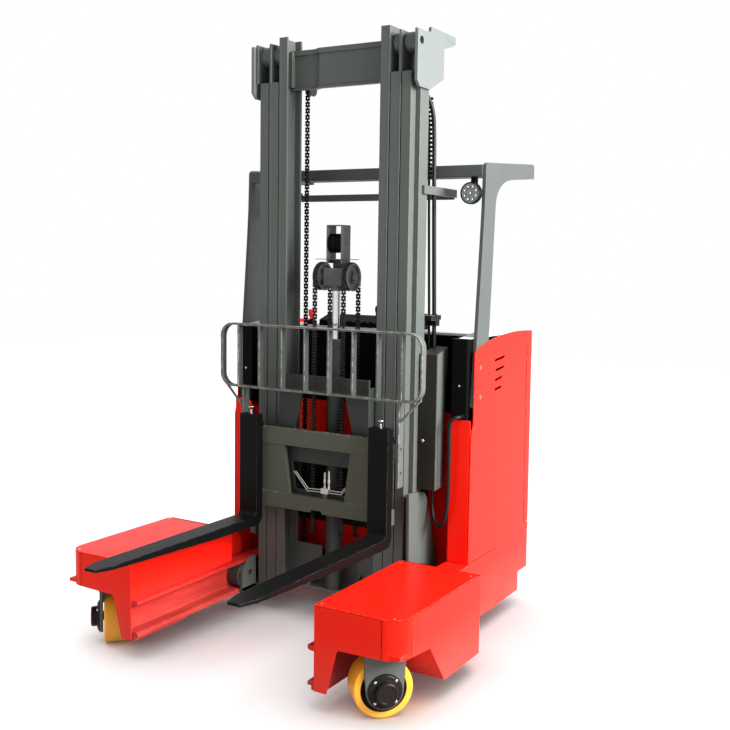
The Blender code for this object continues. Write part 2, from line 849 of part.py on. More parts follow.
def load_wheel(side_name, side):
    """A load wheel, its hub and its single-sided yoke, toed out as it is parked."""
    centre = Vector((side * LOAD_WHEEL_X, LOAD_WHEEL_Y, LOAD_WHEEL_RADIUS))
    out = Vector((side * math.sin(TOE), -math.cos(TOE), 0))
    steer = joint_empty(f"load_steer_{side_name}_axis", (centre.x, centre.y, 0.3))
    axle = joint_empty(f"load_wheel_{side_name}_axis", centre, steer)
    half = LOAD_WHEEL_WIDTH / 2
    rim = LOAD_WHEEL_RADIUS - LOAD_TYRE
    weld(
        f"load_tyre_{side_name}",
        TYRE,
        [
            turned(
                (
                    (rim, -half),
                    (LOAD_WHEEL_RADIUS - 0.010, -half),
                    (LOAD_WHEEL_RADIUS, -half + 0.008),
                    (LOAD_WHEEL_RADIUS, half - 0.008),
                    (LOAD_WHEEL_RADIUS - 0.010, half),
                    (rim, half),
                ),
                centre,
                out,
                36,
                ring=True,
            )
        ],
        carrier=axle,
    )
    bore = LOAD_AXLE + 0.001
    felloe = rim * math.cos(math.pi / 36) - SEAT
    weld(
        f"load_hub_{side_name}",
        HUB,
        [
            turned(
                (
                    (bore, -half + 0.006),
                    (0.050, -half + 0.006),
                    (0.060, -half + 0.016),
                    (felloe - 0.012, -half + 0.016),
                    (felloe, -half + 0.002),
                    (felloe, half - 0.002),
                    (felloe - 0.012, half - 0.010),
                    (0.060, half - 0.010),
                    (0.050, half - 0.002),
                    (bore, half - 0.002),
                ),
                centre,
                out,
                24,
                ring=True,
            )
        ],
        carrier=axle,
    )
    # The yoke is drawn facing +Y about the steering axis and then turned to the wheel's toe.
    plate_in = half + 0.006
    plate_out = plate_in + YOKE_PLATE
    tongue = [(-0.088, 0.280), (-0.084, 0.200)]
    for step in range(11):
        angle = math.pi + math.pi * step / 10
        tongue.append(
            (YOKE_HALF * math.cos(angle), LOAD_WHEEL_RADIUS + YOKE_HALF * math.sin(angle))
        )
    tongue += [(0.084, 0.200), (0.088, 0.280)]
    shapes = [
        prism(tongue, "y", plate_in, plate_out),
        block((-0.090, 0.090), (-0.040, plate_out + 0.002), (0.270, 0.284)),
        rod((0, 0, 0.275), (0, 0, 0.292 - SEAT), 0.058, 20),
        rod((0, 0, 0.285), (0, 0, 0.322), 0.022, 24),
        rod((0, -half, LOAD_WHEEL_RADIUS), (0, plate_in + 0.002, LOAD_WHEEL_RADIUS), LOAD_AXLE, 24),
        turned(
            (
                (0, 0),
                (0.073, 0),
                (0.073, 0.010),
                (0.066, 0.016),
                (0.048, 0.016),
                (0.048, 0.040),
                (0.042, 0.046),
                (0, 0.046),
            ),
            (0, plate_out - 0.004, LOAD_WHEEL_RADIUS),
            (0, 1, 0),
            20,
        ),
    ]
    heading = math.atan2(out.y, out.x) - math.pi / 2
    place = Matrix.Translation((centre.x, centre.y, 0)) @ Matrix.Rotation(heading, 4, "Z")
    for shape in shapes:
        shape.data.transform(place)
    weld(f"load_yoke_{side_name}", MAST_GREY, shapes, carrier=steer)


for side_name, side in SIDES:
    load_wheel(side_name, side)


def drive_unit():
    """The steered drive wheel under the turntable."""
    steer = joint_empty("drive_steer_axis", (DRIVE_X, DRIVE_Y, 0.38))
    centre = Vector((DRIVE_X, DRIVE_Y, DRIVE_RADIUS))
    axle = joint_empty("drive_wheel_axis", centre, steer)
    half = DRIVE_WIDTH / 2
    weld(
        "drive_wheel",
        RUBBER,
        [
            turned(
                (
                    (0.026, -half + 0.012),
                    (0.090, -half + 0.012),
                    (0.100, -half),
                    (DRIVE_RADIUS - 0.008, -half),
                    (DRIVE_RADIUS, -half + 0.008),
                    (DRIVE_RADIUS, half - 0.008),
                    (DRIVE_RADIUS - 0.008, half),
                    (0.100, half),
                    (0.090, half - 0.012),
                    (0.026, half - 0.012),
                ),
                centre,
                (1, 0, 0),
                28,
                ring=True,
            )
        ],
        carrier=axle,
    )
    leg_in = half + 0.006
    weld(
        "drive_yoke",
        BLACK,
        [
            block(
                (DRIVE_X - 0.080, DRIVE_X + leg_in + 0.030),
                (DRIVE_Y - 0.070, DRIVE_Y + 0.070),
                (0.330, 0.360),
            ),
            prism(
                rounded(
                    (
                        (DRIVE_Y - 0.060, 0.350, 0),
                        (DRIVE_Y - 0.060, 0.080, 0.045),
                        (DRIVE_Y + 0.060, 0.080, 0.045),
                        (DRIVE_Y + 0.060, 0.350, 0),
                    )
                ),
                "x",
                DRIVE_X + leg_in,
                DRIVE_X + leg_in + 0.030,
            ),
            rod(
                (DRIVE_X - half, DRIVE_Y, DRIVE_RADIUS),
                (DRIVE_X + leg_in + 0.002, DRIVE_Y, DRIVE_RADIUS),
                0.025,
                24,
            ),
            rod((DRIVE_X, DRIVE_Y, 0.355), (DRIVE_X, DRIVE_Y, 0.380 - SEAT), 0.090, 32),
            rod((DRIVE_X, DRIVE_Y, 0.370), (DRIVE_X, DRIVE_Y, 0.402), 0.040, 32),
        ],
        carrier=steer,
    )


drive_unit()


def caster():
    """The swivelling caster under the operator's floor."""
    swivel = joint_empty("caster_swivel_axis", (CASTER_X, CASTER_Y, 0.22))
    centre = Vector((CASTER_X, CASTER_Y + CASTER_TRAIL, CASTER_RADIUS))
    axle = joint_empty("caster_wheel_axis", centre, swivel)
    half = CASTER_WIDTH / 2
    weld(
        "caster_wheel",
        TYRE,
        [
            turned(
                (
                    (0.013, -half),
                    (0.040, -half),
                    (0.046, -half + 0.006),
                    (CASTER_RADIUS - 0.024, -half + 0.006),
                    (CASTER_RADIUS - 0.018, -half),
                    (CASTER_RADIUS - 0.006, -half),
                    (CASTER_RADIUS, -half + 0.006),
                    (CASTER_RADIUS, half - 0.006),
                    (CASTER_RADIUS - 0.006, half),
                    (CASTER_RADIUS - 0.018, half),
                    (CASTER_RADIUS - 0.024, half - 0.006),
                    (0.046, half - 0.006),
                    (0.040, half),
                    (0.013, half),
                ),
                centre,
                (1, 0, 0),
                20,
                ring=True,
            )
        ],
        carrier=axle,
    )
    shapes = [
        block(
            (CASTER_X - half - 0.014, CASTER_X + half + 0.014),
            (CASTER_Y - 0.05, CASTER_Y + 0.06),
            (0.190, 0.200),
        ),
        rod((CASTER_X, CASTER_Y, 0.195), (CASTER_X, CASTER_Y, 0.228), 0.045, 24),
        rod(
            (CASTER_X - half - 0.012, centre.y, CASTER_RADIUS),
            (CASTER_X + half + 0.012, centre.y, CASTER_RADIUS),
            0.012,
        ),
    ]
    for inner in (-half - 0.013, half + 0.003):
        shapes.append(
            prism(
                rounded(
                    (
                        (CASTER_Y - 0.045, 0.198, 0),
                        (centre.y - 0.028, CASTER_RADIUS - 0.030, 0.018),
                        (centre.y + 0.028, CASTER_RADIUS - 0.030, 0.018),
                        (CASTER_Y + 0.058, 0.198, 0),
                    )
                ),
                "x",
                CASTER_X + inner,
                CASTER_X + inner + 0.010,
            )
        )
    weld("caster_fork", STEEL, shapes, carrier=swivel)


caster()

REACH = joint_empty("reach_axis", (0, ROLLER_FRONT_Y, 0.193))
MIDDLE = joint_empty("mast_middle_axis", (0, MAST_FRONT, MAST_FOOT), REACH)
INNER = joint_empty("mast_inner_axis", (0, MAST_FRONT, MAST_FOOT), MIDDLE)
LIFT = joint_empty("lift_carriage_axis", (0, LIFT_FRONT, BAR_FOOT), INNER)
CROSSHEAD = joint_empty("crosshead_axis", (0, FREE_CYL_Y, FREE_CYL_TOP), INNER)
TILT = joint_empty("fork_tilt_axis", (0, TILT_Y, TILT_Z), LIFT)
STAGE_CARRIERS = {"outer": REACH, "middle": MIDDLE, "inner": INNER}
MAST_BACK = MAST_FRONT + MAST_DEPTH
MAST_MID_Y = MAST_FRONT + MAST_DEPTH / 2


def mast_rail(stage, side_name, side, index):
    """One channel of the mast with its pocket and guide roller at the top and its foot roller."""
    name, edge_in, edge_out, foot, top = stage
    web_in = edge_out - MAST_WEB
    adds = [block(span(side, edge_in, edge_out), (MAST_FRONT, MAST_BACK), (foot, top))]
    cuts = [
        block(
            span(side, edge_in - 0.01, web_in),
            (MAST_FRONT + MAST_FLANGE, MAST_BACK - MAST_FLANGE),
            (foot - 0.01, top + 0.01),
        )
    ]
    extras = []
    if name != "inner":
        # The front flange is cut away at the top, and a guide roller fills the pocket.
        cuts.append(
            block(
                span(side, edge_in - 0.01, web_in),
                (MAST_FRONT - 0.01, MAST_FRONT + MAST_FLANGE + 0.001),
                (POCKET_FOOT, top + 0.01),
            )
        )
        extras.append(
            rod(
                (side * (edge_in + 0.002), MAST_MID_Y, top - 0.075),
                (side * (web_in + 0.002), MAST_MID_Y, top - 0.075),
                ROLLER_RADIUS - 0.004,
                14,
            )
        )
    if index > 0:
        # A foot roller runs in the channel of the next rail out.
        outer_edge = MAST_STAGES[index - 1][2] - MAST_WEB
        extras.append(
            rod(
                (side * (edge_out - 0.002), MAST_MID_Y, foot + 0.075),
                (side * (outer_edge - 0.003), MAST_MID_Y, foot + 0.075),
                ROLLER_RADIUS,
                14,
            )
        )
    rail = weld("rail", MAST_GREY, adds, cuts)
    weld(f"mast_{name}_{side_name}", MAST_GREY, [rail, *extras], carrier=STAGE_CARRIERS[name])


for number, stage in enumerate(MAST_STAGES):
    for side_name, side in SIDES:
        mast_rail(stage, side_name, side, number)


def crossmembers():
    """What joins the left and right rails of each stage."""
    inner_in = MAST_STAGES[2][1]
    inner_web = MAST_STAGES[2][2] - MAST_WEB
    middle_in = MAST_STAGES[1][1]
    middle_out = MAST_STAGES[1][2]
    outer_out = MAST_STAGES[0][2]
    weld(
        "mast_inner_head",
        MAST_GREY,
        [
            prism(
                (
                    (-inner_web + SEAT, 0.245),
                    (-0.150, 0.245),
                    (-0.120, 0.225),
                    (inner_web - SEAT, 0.225),
                    (inner_web - SEAT, 0.240),
                    (-0.115, 0.240),
                    (-0.145, 0.260),
                    (-inner_web + SEAT, 0.260),
                ),
                "z",
                MAST_TOP - 0.225,
                MAST_TOP - 0.030,
            ),
        ],
        carrier=INNER,
    )
    weld(
        "mast_inner_foot",
        MAST_GREY,
        [
            block((SEAT - inner_in, -0.110), (MAST_BACK - MAST_FLANGE, MAST_BACK - SEAT), (0.161, 0.360)),
            block((-0.160, 0.160), (MAST_FRONT + 0.012, MAST_BACK - SEAT - 0.001), (0.160, 0.172)),
            block((0.110, inner_in - SEAT), (MAST_BACK - MAST_FLANGE, MAST_BACK - SEAT), (0.161, 0.360)),
        ],
        carrier=INNER,
    )
    # The middle stage's plates pass behind the rear strands of the free-lift chains.
    plate_front = FREE_CYL_Y + SHEAVE_RADIUS + CHAIN_THICK + RUN
    plate_back = plate_front + 0.008
    chain_top = MAST_TOP - 0.210
    for side_name, side in SIDES:
        # The lift cylinder's tube stands on the reach carriage and its rod hangs from the middle rails' head.
        weld(
            f"lift_cylinder_{side_name}",
            BLACK,
            [
                tube(
                    (side * LIFT_CYL_X, LIFT_CYL_Y, MAST_FOOT),
                    (side * LIFT_CYL_X, LIFT_CYL_Y, LIFT_CYL_TOP),
                    LIFT_CYL_RADIUS,
                    LIFT_ROD_RADIUS + SEAT,
                    16,
                ),
            ],
            carrier=REACH,
        )
        weld(
            f"lift_chain_{side_name}",
            CHAIN,
            [
                block(
                    span(side, 0.238, 0.262),
                    (plate_back + SEAT, plate_back + SEAT + CHAIN_THICK),
                    (0.200, chain_top + 0.005),
                ),
                rod(
                    (side * 0.236, plate_back + SEAT + LIFT_SHEAVE, chain_top + 0.005),
                    (side * 0.264, plate_back + SEAT + LIFT_SHEAVE, chain_top + 0.005),
                    LIFT_SHEAVE,
                    20,
                ),
            ],
            carrier=MIDDLE,
        )
    head = [
        block((-middle_out, middle_out), (plate_front, plate_back), (chain_top, chain_top + 0.140)),
        block(
            (-middle_out, middle_out), (plate_front + 0.002, 0.390), (chain_top + 0.055, chain_top + 0.080)
        ),
    ]
    for _, side in SIDES:
        head.append(
            block(
                span(side, middle_in + 0.001, middle_out - MAST_WEB),
                (MAST_BACK + SEAT, plate_front + 0.001),
                (chain_top, chain_top + 0.140),
            )
        )
        head.append(
            rod(
                (side * LIFT_CYL_X, LIFT_CYL_Y, 0.300),
                (side * LIFT_CYL_X, LIFT_CYL_Y, chain_top + 0.060),
                LIFT_ROD_RADIUS,
                16,
            )
        )
    weld("mast_middle_head", MAST_GREY, head, carrier=MIDDLE)
    foot = [block((-middle_out, middle_out), (plate_front, plate_back), (0.160, 0.300))]
    for _, side in SIDES:
        foot.append(
            block(
                span(side, middle_in + 0.001, middle_out - MAST_WEB),
                (MAST_BACK + SEAT, plate_front + 0.001),
                (0.160, 0.300),
            )
        )
    weld("mast_middle_foot", MAST_GREY, foot, carrier=MIDDLE)
    bracket = []
    for _, side in SIDES:
        bracket.append(
            prism(
                (
                    (0.141, MAST_TOP - 0.010),
                    (0.141, MAST_TOP - 0.240),
                    (0.170, MAST_TOP - 0.265),
                    (0.270, MAST_TOP - 0.265),
                    (0.409, MAST_TOP - 0.198),
                    (0.409, MAST_TOP - 0.060),
                    (0.527, MAST_TOP - 0.022),
                    (0.557, MAST_TOP - 0.005),
                    (0.557, MAST_TOP + 0.030),
                    (0.300, MAST_TOP + 0.030),
                    (0.230, MAST_TOP - 0.005),
                ),
                "x",
                *span(side, outer_out + SEAT, outer_out + 0.015),
            )
        )
    for _, side in SIDES:
        bracket.append(
            block(
                span(side, outer_out + SEAT, outer_out + 0.015),
                (0.235, 0.584),
                (YOKE_Z - 0.020, YOKE_Z + 0.020),
            )
        )
    bridge = block(
        (-outer_out - 0.002, outer_out + 0.002), (0.470, 0.557), (MAST_TOP - 0.002, MAST_TOP + 0.010)
    )
    yoke = block((-outer_out - 0.002, outer_out + 0.002), (0.568, 0.584), (YOKE_Z - 0.029, YOKE_Z + 0.007))
    weld("mast_outer_bracket", MAST_GREY, [bracket[0], bridge, bracket[1]], carrier=REACH)
    weld("mast_outer_yoke", MAST_GREY, [bracket[2], yoke, bracket[3]], carrier=REACH)


crossmembers()


def reach_carriage():
    """The carriage that carries the mast along the reach rails."""
    outer_out = MAST_STAGES[0][2]
    ear_in, ear_out = outer_out - 0.012, RAIL_LIP - RUN - 0.001
    shapes = []
    rollers = []
    base_top = MAST_FOOT - SEAT
    for _, side in SIDES:
        shapes.append(block(span(side, 0.300, ear_out), (MAST_FRONT, 0.450), (base_top - 0.030, base_top)))
        shapes.append(block(span(side, ear_in, ear_out), (0.045, 0.450), (base_top - 0.030, base_top)))
        shapes.append(
            prism(
                (
                    (0.045, 0.110),
                    (MAST_FRONT - SEAT, 0.110),
                    (MAST_FRONT - SEAT, 0.285),
                    (0.115, 0.285),
                    (0.045, 0.225),
                ),
                "x",
                *span(side, ear_in, ear_out),
            )
        )
        shapes.append(
            prism(
                ((MAST_BACK + SEAT, 0.120), (0.455, 0.120), (0.455, 0.400), (MAST_BACK + SEAT, 0.440)),
                "x",
                *span(side, ear_in, ear_out),
            )
        )
        shapes.append(
            prism(
                ((0.138, 0.740), (0.292, 0.722), (0.323, 0.690), (0.459, 0.311), (0.147, 0.403)),
                "x",
                *span(side, outer_out + SEAT, outer_out + CARRIAGE_PLATE),
            )
        )
        for y in (ROLLER_FRONT_Y, ROLLER_REAR_Y):
            radius = (RAIL_HIGH - RAIL_LOW - 2 * RAIL_FLANGE - 0.003) / 2
            height = RAIL_LOW + RAIL_FLANGE + SEAT + radius
            rollers.append(
                rod((side * (ear_out - 0.002), y, height), (side * (RAIL_WEB - 0.005), y, height), radius, 14)
            )
    beam = block((-0.450, 0.450), (0.390, 0.450), (base_top - 0.020, 0.280))
    eye = rod((0, RECESS_BACK + 0.56, 0.190), (0, 0.440, 0.190), 0.018, 16)  # the reach cylinder's rod
    weld("reach_carriage", MAST_GREY, [shapes[0], beam, *shapes[1:], *rollers, eye], carrier=REACH)
    weld(
        "reach_cylinder",
        BLACK,
        [
            tube((0, RECESS_BACK + SHEET + SEAT, 0.190), (0, BODY_REAR - 0.012, 0.190), 0.032, 0.020, 16),
            block((-0.03, 0.03), (0.60, 0.66), (0.214, FLOOR_TOP - SHEET - SEAT)),
        ],
    )


reach_carriage()


def hose_cover():
    """The long cover on the mast's left side, and the hoses that run down to it."""
    back = MAST_BACK + SEAT
    lower = ((0.420, back), (0.536, back), (0.539, 0.370), (0.420, 0.370))
    upper = ((0.420, back), (0.536, back), (0.541, 0.370), (0.541, 0.400), (0.420, 0.400))
    weld(
        "hose_cover",
        MAST_GREY,
        [
            prism(lower, "z", COVER_FOOT, COVER_TOP - 0.150),
            prism(upper, "z", COVER_TOP - 0.160, COVER_TOP),
        ],
        carrier=REACH,
    )
    clamp = block((0.430, 0.500), (back, 0.388), (1.560, 1.585))
    routes = []
    for x in (0.418, 0.448):
        routes.append(
            hose_mesh(
                smooth_route(
                    (
                        (x - 0.010, 0.352, MAST_TOP - 0.320),
                        (x - 0.002, 0.366, MAST_TOP - 0.450),
                        (x, 0.375, MAST_TOP - 0.700),
                        (x + 0.012, 0.375, 1.880),
                        (x + 0.030, 0.375, 1.640),
                        (x + 0.034, 0.375, 1.540),
                        (x + 0.034, 0.375, COVER_TOP + 0.001),
                    ),
                    3,
                ),
                LOOP_RADIUS,
            )
        )
    weld("mast_hoses", RUBBER, [clamp, *routes], carrier=REACH)


hose_cover()


def free_lift():
    """The free-lift cylinder, its rod and crosshead with the two chain sheaves, and the chains."""
    weld(
        "free_lift_cylinder",
        MAST_GREY,
        [
            tube(
                (0, FREE_CYL_Y, 0.172 + SEAT),
                (0, FREE_CYL_Y, FREE_CYL_TOP),
                FREE_CYL_RADIUS,
                FREE_ROD_RADIUS + SEAT,
                20,
            ),
        ],
        carrier=INNER,
    )
    plate_low = SHEAVE_Z + 0.065
    weld(
        "crosshead",
        MAST_GREY,
        [
            rod((0, FREE_CYL_Y, 0.750), (0, FREE_CYL_Y, SHEAVE_Z - 0.010), FREE_ROD_RADIUS, 20),
            turned(
                (
                    (0, -0.112),
                    (0.020, -0.112),
                    (0.020, -0.066),
                    (0.050, -0.066),
                    (0.050, 0.066),
                    (0.020, 0.066),
                    (0.020, 0.112),
                    (0, 0.112),
                ),
                (0, FREE_CYL_Y, SHEAVE_Z),
                (1, 0, 0),
                20,
            ),
            block((-0.058, 0.058), (0.186, 0.254), (SHEAVE_Z, plate_low + 0.006)),
            # Two cheeks above hold the hoses' pulley.
            block((-0.045, -0.039), CHEEK_Y, (plate_low, CHEEK_TOP)),
            block((0.039, 0.045), CHEEK_Y, (plate_low, CHEEK_TOP)),
            rod((-0.041, sum(CHEEK_Y) / 2, PULLEY_Z), (0.041, sum(CHEEK_Y) / 2, PULLEY_Z), PULLEY_RADIUS, 20),
        ],
        carrier=CROSSHEAD,
    )
    for side_name, side in SIDES:
        centre = (side * SHEAVE_X, FREE_CYL_Y, SHEAVE_Z)
        near, far = SHEAVE_X - CHAIN_WIDTH / 2, SHEAVE_X + CHAIN_WIDTH / 2
        bore = 0.0203
        sheave = turned(
            (
                (bore, -0.016),
                (SHEAVE_RADIUS + 0.006, -0.016),
                (SHEAVE_RADIUS + 0.006, -0.0125),
                (SHEAVE_RADIUS, -0.0125),
                (SHEAVE_RADIUS, 0.0125),
                (SHEAVE_RADIUS + 0.006, 0.0125),
                (SHEAVE_RADIUS + 0.006, 0.016),
                (bore, 0.016),
            ),
            centre,
            (1, 0, 0),
            24,
            ring=True,
        )
        radius = SHEAVE_RADIUS - 0.001
        outline = []
        for step in range(13):
            angle = math.pi * step / 12
            reach = radius + CHAIN_THICK
            outline.append((FREE_CYL_Y + reach * math.cos(angle), SHEAVE_Z + reach * math.sin(angle)))
        outline.append((FREE_CYL_Y - radius - CHAIN_THICK, CHAIN_FOOT))
        outline.append((FREE_CYL_Y - radius, CHAIN_FOOT))
        for step in range(12, -1, -1):
            angle = math.pi * step / 12
            outline.append((FREE_CYL_Y + radius * math.cos(angle), SHEAVE_Z + radius * math.sin(angle)))
        outline.append((FREE_CYL_Y + radius, CHAIN_ANCHOR))
        outline.append((FREE_CYL_Y + radius + CHAIN_THICK, CHAIN_ANCHOR))
        weld(
            f"free_lift_chain_{side_name}",
            CHAIN,
            [sheave, prism(outline, "x", *span(side, near, far))],
            carrier=CROSSHEAD,
        )


free_lift()


def lift_carriage():
    """The plate carriage that runs on rollers in the inner rails."""
    inner_in = MAST_STAGES[2][1]
    inner_web = MAST_STAGES[2][2] - MAST_WEB
    back = LIFT_FRONT + LIFT_PLATE
    shapes = [block((-LIFT_HALF, LIFT_HALF), (LIFT_FRONT, back), (0.620, 1.270))]
    cuts = [
        prism(
            ((-0.125, 1.190), (0.125, 1.190), (0.190, 0.930), (-0.190, 0.930)),
            "y",
            LIFT_FRONT - 0.01,
            back + 0.01,
        ),
        prism(
            ((-0.185, 0.830), (0.185, 0.830), (0.165, 0.690), (-0.165, 0.690)),
            "y",
            LIFT_FRONT - 0.01,
            back + 0.01,
        ),
    ]
    for _, side in SIDES:
        shapes.append(block(span(side, LIFT_HALF - 0.012, LIFT_HALF), (LIFT_FRONT, 0.265), (0.640, 1.230)))
        for z in (0.720, 1.150):
            shapes.append(
                rod(
                    (side * (LIFT_HALF - 0.002), MAST_MID_Y, z),
                    (side * (inner_web - 0.003), MAST_MID_Y, z),
                    ROLLER_RADIUS,
                    14,
                )
            )
        # Tilt cylinder body and the lug of the tilt pin.
        shapes.append(rod((side * 0.225, LIFT_FRONT - 0.001, 0.720), (side * 0.225, 0.200, 0.720), 0.024, 12))
        cuts.append(rod((side * 0.225, 0.05, 0.720), (side * 0.225, 0.185, 0.720), 0.016, 12))
        shapes.append(
            block(
                span(side, 0.200, 0.215),
                (TILT_Y - 0.006, LIFT_FRONT + 0.002),
                (TILT_Z - 0.030, TILT_Z + 0.030),
            )
        )
        shapes.append(rod((side * 0.190, TILT_Y, TILT_Z), (side * 0.245, TILT_Y, TILT_Z), 0.010, 16))
    weld("lift_carriage", MAST_GREY, shapes, cuts, carrier=LIFT)


lift_carriage()


PIPE_ROUTE = (
    (-0.140, 0.072, 0.785),
    (-0.085, 0.072, 0.722),
    (-0.018, 0.072, 0.718),
    (0.120, 0.072, 0.722),
    (0.157, 0.072, 0.740),
)


def fork_carriage():
    """The front frame with its notched bar, its window and its tilt lugs."""
    back = BAR_FRONT + BAR_DEPTH
    top_low = BAR_TOP - BAR_TOP_HEIGHT
    foot_high = BAR_FOOT + BAR_FOOT_HEIGHT
    shapes = [
        block((-BAR_HALF, BAR_HALF), (BAR_FRONT, back), (top_low, BAR_TOP)),
        block((-BAR_HALF, BAR_HALF), (BAR_FRONT, back), (BAR_FOOT, foot_high)),
    ]
    cuts = []
    for _, side in SIDES:
        shapes.append(
            prism(
                mirrored(
                    (
                        (0.195, top_low + 0.004),
                        (0.160, foot_high - 0.004),
                        (0.400, foot_high - 0.004),
                        (0.400, top_low + 0.004),
                    ),
                    side,
                ),
                "y",
                BAR_FRONT + 0.005,
                back - 0.005,
            )
        )
        # Two ears on the back of the bar take the tilt pin, and a rod runs into the tilt cylinder.
        for low in (0.190, 0.2155):
            shapes.append(
                block(
                    span(side, low, low + 0.009),
                    (back - 0.004, TILT_Y + 0.008),
                    (TILT_Z - 0.024, TILT_Z + 0.024),
                )
            )
        cuts.append(rod((side * 0.15, TILT_Y, TILT_Z), (side * 0.30, TILT_Y, TILT_Z), 0.0108, 16))
        shapes.append(rod((side * 0.225, back - 0.008, 0.720), (side * 0.225, 0.150, 0.720), 0.008, 12))
    for number in range(-6, 7):
        x = number * 0.062
        if abs(abs(x) - FORK_X) < FORK_HALF:
            continue
        cuts.append(
            block((x - 0.006, x + 0.006), (BAR_FRONT - 0.01, back + 0.01), (BAR_TOP - 0.009, BAR_TOP + 0.01))
        )
    weld("fork_carriage", MAST_GREY, shapes, cuts, carrier=TILT)
    weld(
        "tilt_pipes",
        STEEL,
        [
            block((-0.032, -0.004), (0.060, 0.078), (0.702, 0.724)),
            hose_mesh(smooth_route(PIPE_ROUTE, 3), 0.005),
            rod((-0.026, 0.072, 0.715), (-0.026, 0.072, 0.790), 0.006, 10),
            rod((-0.010, 0.072, 0.715), (-0.010, 0.072, 0.792), 0.006, 10),
            block((-0.030, -0.006), (0.062, 0.076), (foot_high + SEAT, 0.710)),
        ],
        carrier=TILT,
    )


fork_carriage()


def fork(side_name, side):
    """A forged fork hung on the carriage bars, its blade tapered in height and width."""
    heel = FORK_SHANK
    blade = (
        (heel, FORK_TOP),
        (0.0, FORK_TOP),
        (0.0, BLADE_TOP + 0.02),
        (-0.006, BLADE_TOP + 0.006),
        (-0.02, BLADE_TOP),
        (FORK_TIP_Y, BLADE_TOP),
        (FORK_TIP_Y, BLADE_TOP - BLADE_TIP),
        (-0.30, BLADE_TOP - BLADE_HEEL + 0.004),
        (0.010, BLADE_TOP - BLADE_HEEL),
        (0.034, BLADE_TOP - BLADE_HEEL + 0.010),
        (heel, BLADE_TOP - BLADE_HEEL + 0.034),
    )
    low, high = span(side, FORK_X - FORK_HALF, FORK_X + FORK_HALF)
    centre = side * FORK_X
    shapes = [
        prism(blade, "x", low, high),
        # The knob of the locking pin on the shank.
        turned(
            ((0, -0.010), (0.008, -0.010), (0.008, 0.020), (0.016, 0.032), (0.016, 0.036), (0, 0.038)),
            (centre, 0.026, FORK_TOP),
            (0, 0, 1),
            14,
        ),
        # The hook over the carriage's top bar.
        block((low, high), (FORK_SHANK - 0.004, BAR_FRONT + 0.012), (BAR_TOP + SEAT, BAR_TOP + 0.022)),
    ]
    cuts = []
    for edge in (-1, 1):
        cuts.append(
            prism(
                (
                    (centre + edge * (FORK_HALF + 0.01), TAPER_Y),
                    (centre + edge * FORK_HALF, TAPER_Y),
                    (centre + edge * (TIP_HALF + 0.012), FORK_TIP_Y + 0.020),
                    (centre + edge * TIP_HALF, FORK_TIP_Y),
                    (centre + edge * TIP_HALF, FORK_TIP_Y - 0.01),
                    (centre + edge * (FORK_HALF + 0.01), FORK_TIP_Y - 0.01),
                ),
                "z",
                0.45,
                0.60,
            )
        )
    weld(f"fork_{side_name}", BLACK, shapes, cuts, carrier=TILT)


for side_name, side in SIDES:
    fork(side_name, side)


def backrest():
    """The load backrest: a bent flat bar with uprights, braces and two bolted supports."""
    outer = rounded(
        (
            (-REST_HALF, REST_FOOT, REST_CORNER),
            (REST_HALF, REST_FOOT, REST_CORNER),
            (REST_HALF, REST_TOP, REST_CORNER),
            (-REST_HALF, REST_TOP, REST_CORNER),
        )
    )
    inner = rounded(
        (
            (-REST_HALF + REST_BAR, REST_FOOT + REST_BAR, REST_CORNER - REST_BAR),
            (REST_HALF - REST_BAR, REST_FOOT + REST_BAR, REST_CORNER - REST_BAR),
            (REST_HALF - REST_BAR, REST_TOP - REST_BAR, REST_CORNER - REST_BAR),
            (-REST_HALF + REST_BAR, REST_TOP - REST_BAR, REST_CORNER - REST_BAR),
        )
    )
    back = REST_FRONT + REST_DEPTH
    frame = weld(
        "frame",
        MAST_GREY,
        [prism(outer, "y", REST_FRONT, back)],
        [prism(inner, "y", REST_FRONT - 0.01, back + 0.01)],
    )
    bars = []
    for x in (-0.475, -0.345, -0.207, -0.069, 0.069, 0.207, 0.345, 0.475):
        bars.append(
            block(
                (x - REST_BAR / 2, x + REST_BAR / 2),
                (REST_FRONT + 0.002, back - 0.002),
                (REST_FOOT + 0.004, REST_TOP - 0.004),
            )
        )
    for _, side in SIDES:
        bars.append(
            block(
                span(side, REST_SUPPORT_X - 0.014, REST_SUPPORT_X),
                (BAR_FRONT + 0.002, BAR_FRONT + 0.050),
                (0.780, REST_FOOT + 0.004),
            )
        )
        bars.append(
            prism(
                mirrored(
                    (
                        (0.575, REST_FOOT + 0.030),
                        (0.575, REST_FOOT + 0.012),
                        (0.455, REST_FOOT - 0.110),
                        (0.455, REST_FOOT - 0.092),
                    ),
                    side,
                ),
                "y",
                0.055,
                0.065,
            )
        )
        bars.append(
            block(
                span(side, BAR_HALF + SEAT, REST_SUPPORT_X - 0.010),
                (BAR_FRONT + 0.004, BAR_FRONT + 0.028),
                (BAR_TOP - 0.080, BAR_TOP - 0.010),
            )
        )
    weld("load_backrest", MAST_GREY, [frame, *bars], carrier=TILT)


backrest()

